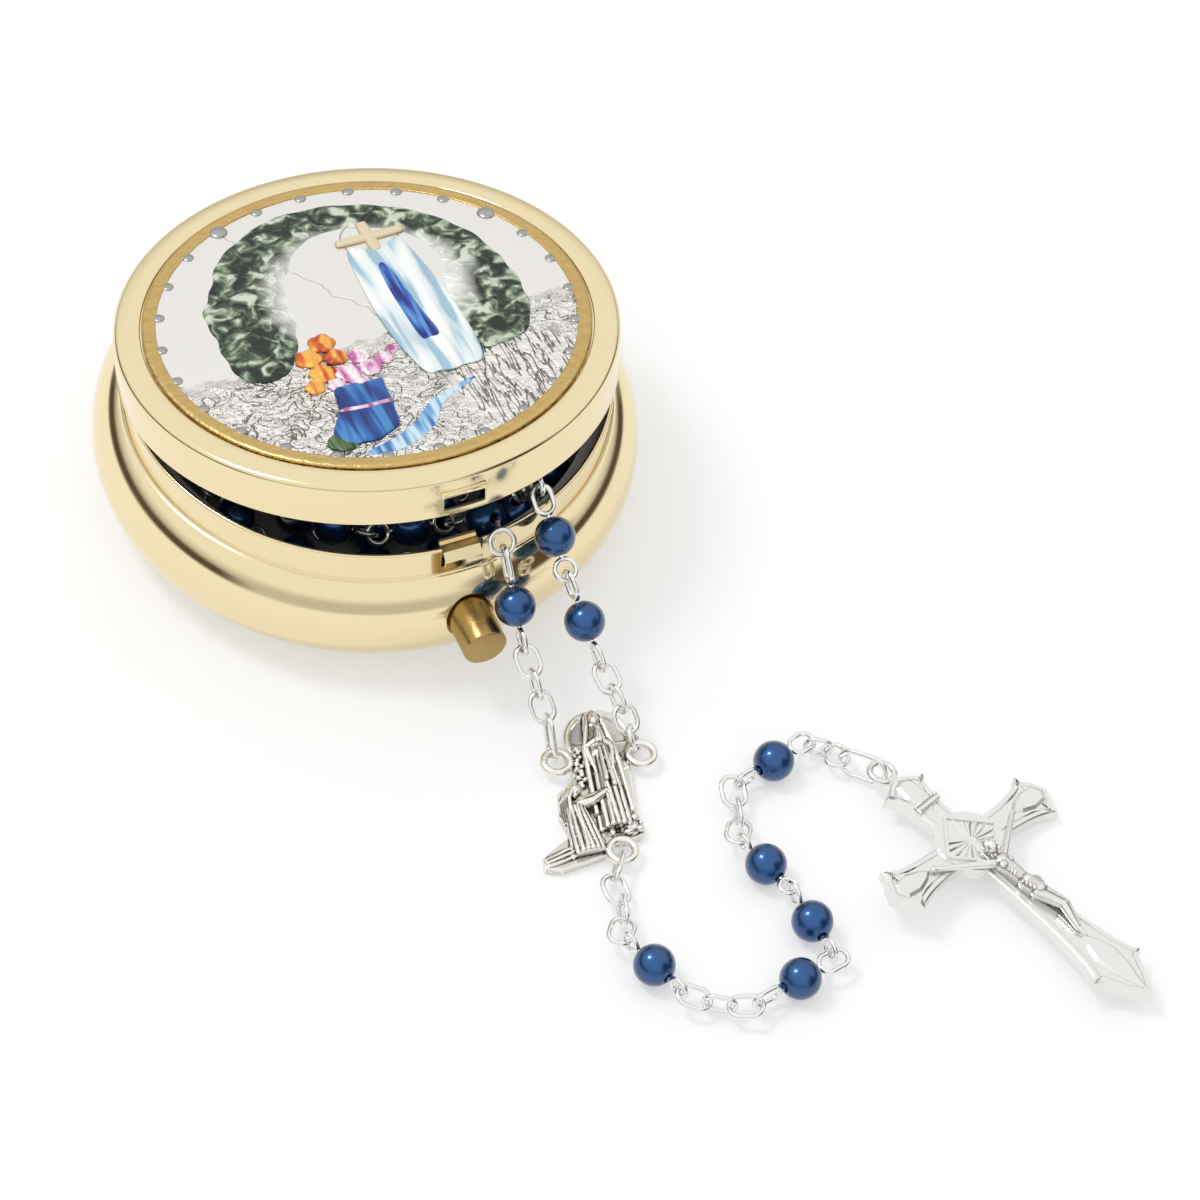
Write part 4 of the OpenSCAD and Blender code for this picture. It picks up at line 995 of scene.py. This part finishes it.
# Veil round the face, and its edges down to the hem
for side in (-1, 1):
    standing += [
        limb((0.1, 5.05, 2.1), (0.1 + side * 0.72, 4.5, 2.05), 0.17, 0.19),
        limb((0.1 + side * 0.72, 4.5, 2.05), (0.1 + side * 0.85, 3.4, 2.05), 0.19, 0.2),
        limb((0.1 + side * 0.85, 3.4, 2.05), (0.15 + side * 1.5, 0.6, 1.75), 0.2, 0.24),
        limb((0.15 + side * 1.5, 0.6, 1.75), (0.4 + side * 1.75, -6.4, 1.45), 0.24, 0.26)]
# Climbing roses between the two figures
for i in range(14):
    standing.append(egg((-2.05 + 0.32 * math.sin(2.4 * i), 1.3 - 0.33 * i, 1.15),
                        (0.3, 0.27, 0.35 + 0.1 * math.cos(1.7 * i))))
kneeling = robe((-3.3, -5.6, 0.85), (-2.7, -10.7, 0.2), 1.1, 1.9, 8, 0.24) \
    + robe((-3.4, -10.1, 0.4), (-6.9, -11.2, 0.2), 0.95, 0.75, 5, 0.2) + [
    limb((-2.9, -5.3, 1.5), (-1.5, -5.2, 1.9), 0.56, 0.46),
    limb((-1.5, -5.2, 1.9), (-0.5, -4.6, 2), 0.46, 0.34),
    limb((-2.7, -5.0, 1.7), (-1.4, -4.7, 1.95), 0.4, 0.32),
    limb((-1.4, -4.7, 1.95), (-0.4, -4.3, 2), 0.32, 0.24),
    egg((-0.2, -4.4, 2.05), (0.4, 0.3, 0.28)), egg((-3.1, -3.6, 1.35), (0.68, 0.82, 0.72)),
    egg((-2.42, -3.55, 1.45), (0.18, 0.13, 0.12)), egg((-2.55, -3.3, 1.6), (0.1, 0.06, 0.06)),
    egg((-2.52, -3.85, 1.5), (0.1, 0.05, 0.06)), egg((-2.62, -4.15, 1.35), (0.16, 0.12, 0.14)),
    egg((-6.9, -11.4, 0.5), (0.4, 0.4, 0.45))]
# Long hair or veil down the kneeling figure's back, in strands
for i in range(5):
    kneeling.append(limb((-3.0 - 0.22 * i, -2.95 - 0.12 * i, 1.75 - 0.12 * i),
                         (-3.75 - 0.2 * i, -4.5 - 0.1 * i, 1.85 - 0.2 * i), 0.2, 0.22))
    kneeling.append(limb((-3.75 - 0.2 * i, -4.5 - 0.1 * i, 1.85 - 0.2 * i),
                         (-3.9 - 0.17 * i, -7.0, 1.75 - 0.2 * i), 0.22, 0.13))
ground_lumps = [
    limb((1.7, -8.2, 0.8), (1.3, -6.4, 0.9), 0.9, 0.9), egg((2.1, -7.4, 1.5), (0.5, 0.4, 0.4)),
    egg((2.5, -8.5, 1.2), (0.4, 0.35, 0.4)), egg((1.3, -8.8, 1.3), (0.5, 0.3, 0.35)),
    egg((1.0, -7.7, 1.7), (0.3, 0.3, 0.25)), egg((2.7, -7.8, 1.1), (0.25, 0.25, 0.3))]
side_ring_x = 4.15
foot_ring = (0.3, -10.9)
rings = [eyelet((-side_ring_x, 0, 1.35), 1.25, 0.4), eyelet((side_ring_x, 0, 1.35), 1.25, 0.4),
         eyelet((*foot_ring, 1.35), 1.25, 0.4)]
necks = [limb((-2.6, 0.2, 0.8), (-3, 0.1, 1.1), 0.55, 0.4),
         limb((2.6, 0.2, 0.8), (3, 0.1, 1.1), 0.55, 0.4),
         limb((0.3, -9.2, 0.8), (0.3, -9.7, 1.1), 0.6, 0.4)]
medal = cast("medal_casting", [back_plate, halo_plate] + standing + kneeling + ground_lumps
             + rings + necks, 0.08)
medal_at = (7.4, -42.6, 0)
medal_turn = -13.4
laid(medal, medal_at, (0, 0, medal_turn))

old_silver, old_shader = paint("old_silver", (0.62, 0.61, 0.58), 1.0, 0.2)
handled(old_silver, old_shader, 500, 0.16, 0.3, 0.15)


def blackened(made, shader, bright, dark, low, high):
    """Darkens the hollows of a casting, which its vertex colours mark."""
    tree = made.node_tree
    hollows = tree.nodes.new("ShaderNodeAttribute")
    hollows.attribute_name = "Attribute"
    depth = linked(tree, "ShaderNodeMapRange", Value=hollows.outputs["Fac"], From_Min=low,
                   From_Max=high)
    tones = tree.nodes.new("ShaderNodeMix")
    tones.data_type = "RGBA"
    tones.inputs["A"].default_value = (*dark, 1)
    tones.inputs["B"].default_value = (*bright, 1)
    tree.links.new(depth.outputs["Result"], tones.inputs["Factor"])
    tree.links.new(tones.outputs["Result"], shader.inputs["Base Color"])


blackened(old_silver, old_shader, (0.88, 0.86, 0.80), (0.035, 0.03, 0.024), 0.32, 0.45)
wears(medal, old_silver)
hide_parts("medal")
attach(medal, "box")


# ---------------------------------------------------------------------------
# Crucifix. Cast and plated in satin silver, with flared ends that carry a
# raised drop each, a rayed plate at the crossing, a scroll and the figure.
# ---------------------------------------------------------------------------

cross_t = 1.3
half_beam = 1.5


def arm_edge(turn, corner, tip, half):
    """Outline of one flared arm in mm, from its right root round its tip to its left root."""
    side = []
    for step in range(0, 91, 10):
        t = math.radians(step)
        side.append((half_beam + (half - half_beam) * (1 - math.cos(t)),
                     3 + (corner - 3) * math.sin(t)))
    side.append((half * 0.72, corner + (tip - corner) * 0.12))
    side.append((half * 0.45, corner + (tip - corner) * 0.55))
    whole = [(half_beam, half_beam)] + side + [(0, tip)]
    whole += [(-x, y) for x, y in reversed(side)]
    spin = Matrix.Rotation(math.radians(turn), 2)
    return [tuple(spin @ Vector(point)) for point in whole]


arms = [(-90, 9.8, 11.4, 2.9), (0, 8.6, 10, 2.9), (90, 9.8, 11.4, 2.9), (180, 18.6, 23, 3.5)]
outline = []
for arm in arms:
    outline += arm_edge(*arm)
cross_body = drawn("cross_body", outline, 0)
bpy.ops.mesh.extrude_region_move(TRANSFORM_OT_translate={"value": (0, 0, (cross_t - 0.12) / 1000)})
# Eased edge, a rim, and a fine groove inside it
for inward, up in ((0.14, 0.12), (0.38, 0.0), (0.09, -0.14), (0.09, 0.12)):
    bpy.ops.mesh.inset(thickness=inward / 1000)
    bpy.ops.transform.translate(value=(0, 0, up / 1000))
bpy.ops.mesh.select_all(action="SELECT")
bpy.ops.mesh.normals_make_consistent(inside=False)
bpy.ops.object.mode_set(mode="OBJECT")
bpy.ops.object.shade_smooth_by_angle(angle=math.radians(28))


def gem(points, low, rise, inset):
    """A raised drop or lozenge with sloping sides, from its outline in mm."""
    piece = drawn("gem", points, low)
    bpy.ops.mesh.extrude_region_move(TRANSFORM_OT_translate={"value": (0, 0, 0.0001)})
    bpy.ops.mesh.inset(thickness=inset / 1000)
    bpy.ops.transform.translate(value=(0, 0, rise / 1000))
    bpy.ops.mesh.select_all(action="SELECT")
    bpy.ops.mesh.normals_make_consistent(inside=False)
    bpy.ops.object.mode_set(mode="OBJECT")
    return piece


cross_parts = [cross_body]
for turn, corner, tip, half in arms:
    drop = [(0, tip - 0.75), (half * 0.34, corner + 0.25), (half * 0.4, corner - 0.45 * half),
            (half * 0.24, corner - 0.95 * half), (0, corner - 1.3 * half)]
    drop += [(-x, y) for x, y in reversed(drop[1:-1])]
    spin = Matrix.Rotation(math.radians(turn), 2)
    cross_parts.append(gem([tuple(spin @ Vector(point)) for point in drop],
                           cross_t - 0.08, 0.22, 0.28))
disc_r = 3.6
disc = rod("disc", disc_r, (0, 0, 0.1), (0, 0, cross_t + 0.12), 96)
cross_parts.append(disc)
rayed_w = 5.2
half_plate = rayed_w / math.sqrt(2)
plate_top = cross_t + 0.35
rayed = drawn("rayed_plate", [(half_plate, 0), (0, half_plate), (-half_plate, 0),
                              (0, -half_plate)], 0)
bpy.ops.mesh.extrude_region_move(TRANSFORM_OT_translate={"value": (0, 0, plate_top / 1000)})
for inward, up in ((0.28, 0.0), (0.1, -0.2)):
    bpy.ops.mesh.inset(thickness=inward / 1000)
    bpy.ops.transform.translate(value=(0, 0, up / 1000))
bpy.ops.mesh.select_all(action="SELECT")
bpy.ops.mesh.normals_make_consistent(inside=False)
bpy.ops.object.mode_set(mode="OBJECT")
cross_parts.append(rayed)
ray_count = 20
for i in range(ray_count):
    turn = 2 * math.pi * (i + 0.5) / ray_count
    reach = (half_plate - 0.5) / (abs(math.cos(turn)) + abs(math.sin(turn)))
    start = Vector((0.5 * math.cos(turn), 0.5 * math.sin(turn), plate_top - 0.2)) / 1000
    stop = Vector((reach * math.cos(turn), reach * math.sin(turn), plate_top - 0.2)) / 1000
    bpy.ops.object.select_all(action="DESELECT")
    bpy.ops.mesh.primitive_cone_add(
        vertices=4, radius1=0.00004, radius2=0.00016, depth=(stop - start).length,
        location=(start + stop) / 2, rotation=(stop - start).to_track_quat("Z", "Y").to_euler())
    bpy.ops.object.transform_apply(location=True, rotation=True, scale=True)
    cross_parts.append(bpy.context.object)
cross_parts.append(eyelet((0, 11.4, cross_t / 2), 1.2, 0.35))
cross_parts.append(block("neck", (-0.5, 9.4, 0.2), (0.5, 10.2, 1.1)))
crucifix = joined("crucifix_casting", cross_parts)

lift = cross_t + 0.5
figure = [
    egg((0.25, -2.05, lift + 0.62), (0.62, 0.8, 0.66), (0, 0, -14)),
    egg((0.2, -1.75, lift + 0.5), (0.74, 0.72, 0.66)),
    egg((0.42, -2.35, lift + 1.22), (0.1, 0.17, 0.1)),
    egg((0.18, -2.1, lift + 1.16), (0.12, 0.06, 0.07)),
    egg((0.6, -2.2, lift + 1.12), (0.12, 0.06, 0.07)),
    egg((0.5, -2.75, lift + 0.95), (0.28, 0.22, 0.25)),
    limb((0.1, -2.8, lift + 0.2), (0.05, -3.5, lift + 0.1), 0.4, 0.5),
    limb((0, -3.8, lift), (0.15, -5, lift + 0.05), 0.92, 0.8),
    limb((0.15, -5, lift + 0.05), (0.25, -6.6, lift), 0.8, 0.68),
    egg((-0.42, -4.2, lift + 0.62), (0.45, 0.42, 0.25)),
    egg((0.5, -4.2, lift + 0.62), (0.45, 0.42, 0.25)),
    limb((0.2, -6.9, lift), (0.4, -8.1, lift), 0.92, 0.88),
    egg((1.2, -7.3, lift + 0.1), (0.4, 0.5, 0.45)),
    limb((1.25, -7.6, lift), (1.4, -8.9, lift - 0.2), 0.3, 0.2),
    limb((0, -8.3, lift), (0.7, -10.9, lift + 0.3), 0.62, 0.46),
    limb((0.7, -8.2, lift), (1.1, -10.9, lift + 0.25), 0.6, 0.46),
    limb((0.7, -10.9, lift + 0.3), (0, -13.5, lift - 0.15), 0.46, 0.26),
    limb((1.1, -10.9, lift + 0.25), (0.35, -13.3, lift - 0.1), 0.44, 0.26),
    limb((0.1, -13.6, lift - 0.15), (0.1, -14.4, lift - 0.35), 0.28, 0.22)]
for i in range(4):
    figure.append(limb((-0.55 + 0.1 * i, -6.7 - 0.42 * i, lift + 0.62),
                       (1.0, -7.1 - 0.3 * i, lift + 0.62), 0.12, 0.14))
for side in (-1, 1):
    figure += [
        limb((side * 0.7, -3.45, lift + 0.1), (side * 3.1, -1.95, lift), 0.46, 0.34),
        limb((side * 3.1, -1.95, lift), (side * 5.5, -0.45, lift - 0.15), 0.34, 0.24),
        egg((side * 5.8, -0.25, lift - 0.15), (0.42, 0.3, 0.24), (0, 0, side * 30))]
    for i in range(3):
        figure.append(limb((0.12 + side * 0.12, -4.85 - 0.3 * i, lift + 0.72),
                           (0.15 + side * 0.62, -4.95 - 0.34 * i, lift + 0.5), 0.07, 0.08))
figure += [
    limb((-1.4, 5.55, cross_t + 0.12), (1.4, 5.7, cross_t + 0.12), 0.36, 0.36),
    limb((-1.4, 5.9, cross_t + 0.1), (1.4, 6, cross_t + 0.1), 0.24, 0.24),
    egg((-1.5, 5.3, cross_t + 0.2), (0.26, 0.26, 0.3)),
    egg((1.5, 6.1, cross_t + 0.2), (0.26, 0.26, 0.3))]
corpus = cast("figure_casting", figure, 0.07)
# It lies tilted on the tip of one arm, which rests just above the table
cross_tilt = 8
cross_turn = 21
resting_arm = 11.1
cross_at = (36, -64.9, resting_arm * math.sin(math.radians(cross_tilt)) + 0.05)
for piece in (crucifix, corpus):
    laid(piece, cross_at, (0, cross_tilt, cross_turn))
    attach(piece, "cross")
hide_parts("crucifix")

satin_silver, satin_shader = paint("satin_silver", (0.82, 0.82, 0.80), 1.0, 0.26)
handled(satin_silver, satin_shader, 400, 0.2, 0.3, 0.12)
wears(crucifix, satin_silver)
figure_silver, figure_shader = paint("figure_silver", (0.82, 0.82, 0.80), 1.0, 0.24)
handled(figure_silver, figure_shader, 400, 0.18, 0.3, 0.1)
blackened(figure_silver, figure_shader, (0.84, 0.83, 0.81), (0.28, 0.26, 0.24), 0.3, 0.48)
wears(corpus, figure_silver)


# ---------------------------------------------------------------------------
# Table, light and camera. A white photographer's table in a pale room, with
# one small soft light; the room is what the polished metal mirrors.
# ---------------------------------------------------------------------------

bpy.ops.object.select_all(action="DESELECT")
bpy.ops.mesh.primitive_plane_add(size=3, location=(0, 0, 0))
table = bpy.context.object
table.name = "table"
table_white, table_shader = paint("table_white", (0.52, 0.52, 0.52), 0.0, 0.7)
table_shader.inputs["Emission Color"].default_value = (1, 1, 1, 1)
table_shader.inputs["Emission Strength"].default_value = 0.44
wears(table, table_white)

eye = Vector((-0.10545, -0.24039, 0.31073))
ahead = Vector((0.3048, 0.5443, -0.7815)).normalized()
right = Vector((0.9139, -0.3983, 0.0790))
right = (right - right.dot(ahead) * ahead).normalized()
up = right.cross(ahead)

# White room, greyer low down, with a dark gap at both sides and a dark place at the front right
scene = bpy.context.scene
sky = bpy.data.worlds.new("studio")
scene.world = sky
sky.use_nodes = True
tree = sky.node_tree
look = tree.nodes.new("ShaderNodeTexCoord")
height = linked(tree, "ShaderNodeSeparateXYZ", Vector=look.outputs["Generated"]).outputs["Z"]
over = linked(tree, "ShaderNodeMapRange", Value=height, From_Min=-0.06, From_Max=0.06)
under = linked(tree, "ShaderNodeMapRange", Value=height, From_Min=0.38, From_Max=0.2)


def towards(way):
    """How nearly the direction looked in is the given one, from -1 to 1."""
    made = tree.nodes.new("ShaderNodeVectorMath")
    made.operation = "DOT_PRODUCT"
    tree.links.new(look.outputs["Generated"], made.inputs[0])
    made.inputs[1].default_value = way
    return made.outputs["Value"]


sideways = linked(tree, "ShaderNodeMapRange", Value=sums(tree, "ABSOLUTE", towards(right)),
                  From_Min=0.45, From_Max=0.75)
gap_dark = sums(tree, "MULTIPLY", sums(tree, "MULTIPLY", over.outputs["Result"],
                                       under.outputs["Result"]), sideways.outputs["Result"])
room = Vector((0.62, -0.68, 0.40)).normalized()
room_dark = linked(tree, "ShaderNodeMapRange", Value=towards(room), From_Min=0.9, From_Max=0.98)
low = linked(tree, "ShaderNodeMapRange", Value=height, From_Min=0.5, From_Max=0.3)
low_grey = sums(tree, "MULTIPLY", sums(tree, "MULTIPLY", over.outputs["Result"],
                                       low.outputs["Result"]), 0.4)
dark = sums(tree, "MAXIMUM", sums(tree, "MAXIMUM", gap_dark, low_grey),
            room_dark.outputs["Result"])
# The camera itself sees the room plain white
seen = tree.nodes.new("ShaderNodeLightPath")
dark = sums(tree, "MULTIPLY", dark, sums(tree, "SUBTRACT", 1.0, seen.outputs["Is Camera Ray"]))
walls = tree.nodes.new("ShaderNodeMix")
walls.data_type = "RGBA"
walls.inputs["A"].default_value = (1, 1, 1, 1)
walls.inputs["B"].default_value = (0.10, 0.075, 0.05, 1)
tree.links.new(dark, walls.inputs["Factor"])
backdrop = tree.nodes["Background"]
tree.links.new(walls.outputs["Result"], backdrop.inputs["Color"])
backdrop.inputs["Strength"].default_value = 1.0

light_data = bpy.data.lights.new("soft_light", "AREA")
light_data.energy = 1.2
light_data.size = 0.16
soft_light = bpy.data.objects.new("soft_light", light_data)
scene.collection.objects.link(soft_light)
soft_light.location = (-0.25, 0.2, 0.6)
soft_light.rotation_euler = (-soft_light.location).to_track_quat("-Z", "Y").to_euler()

camera_data = bpy.data.cameras.new("camera")
camera_data.lens = 120
camera_data.sensor_width = 36
camera_data.clip_start = 0.01
camera = bpy.data.objects.new("camera", camera_data)
scene.collection.objects.link(camera)
camera.matrix_world = Matrix((
    (right.x, up.x, -ahead.x, eye.x),
    (right.y, up.y, -ahead.y, eye.y),
    (right.z, up.z, -ahead.z, eye.z),
    (0, 0, 0, 1)))
scene.camera = camera
scene.view_settings.view_transform = "Standard"
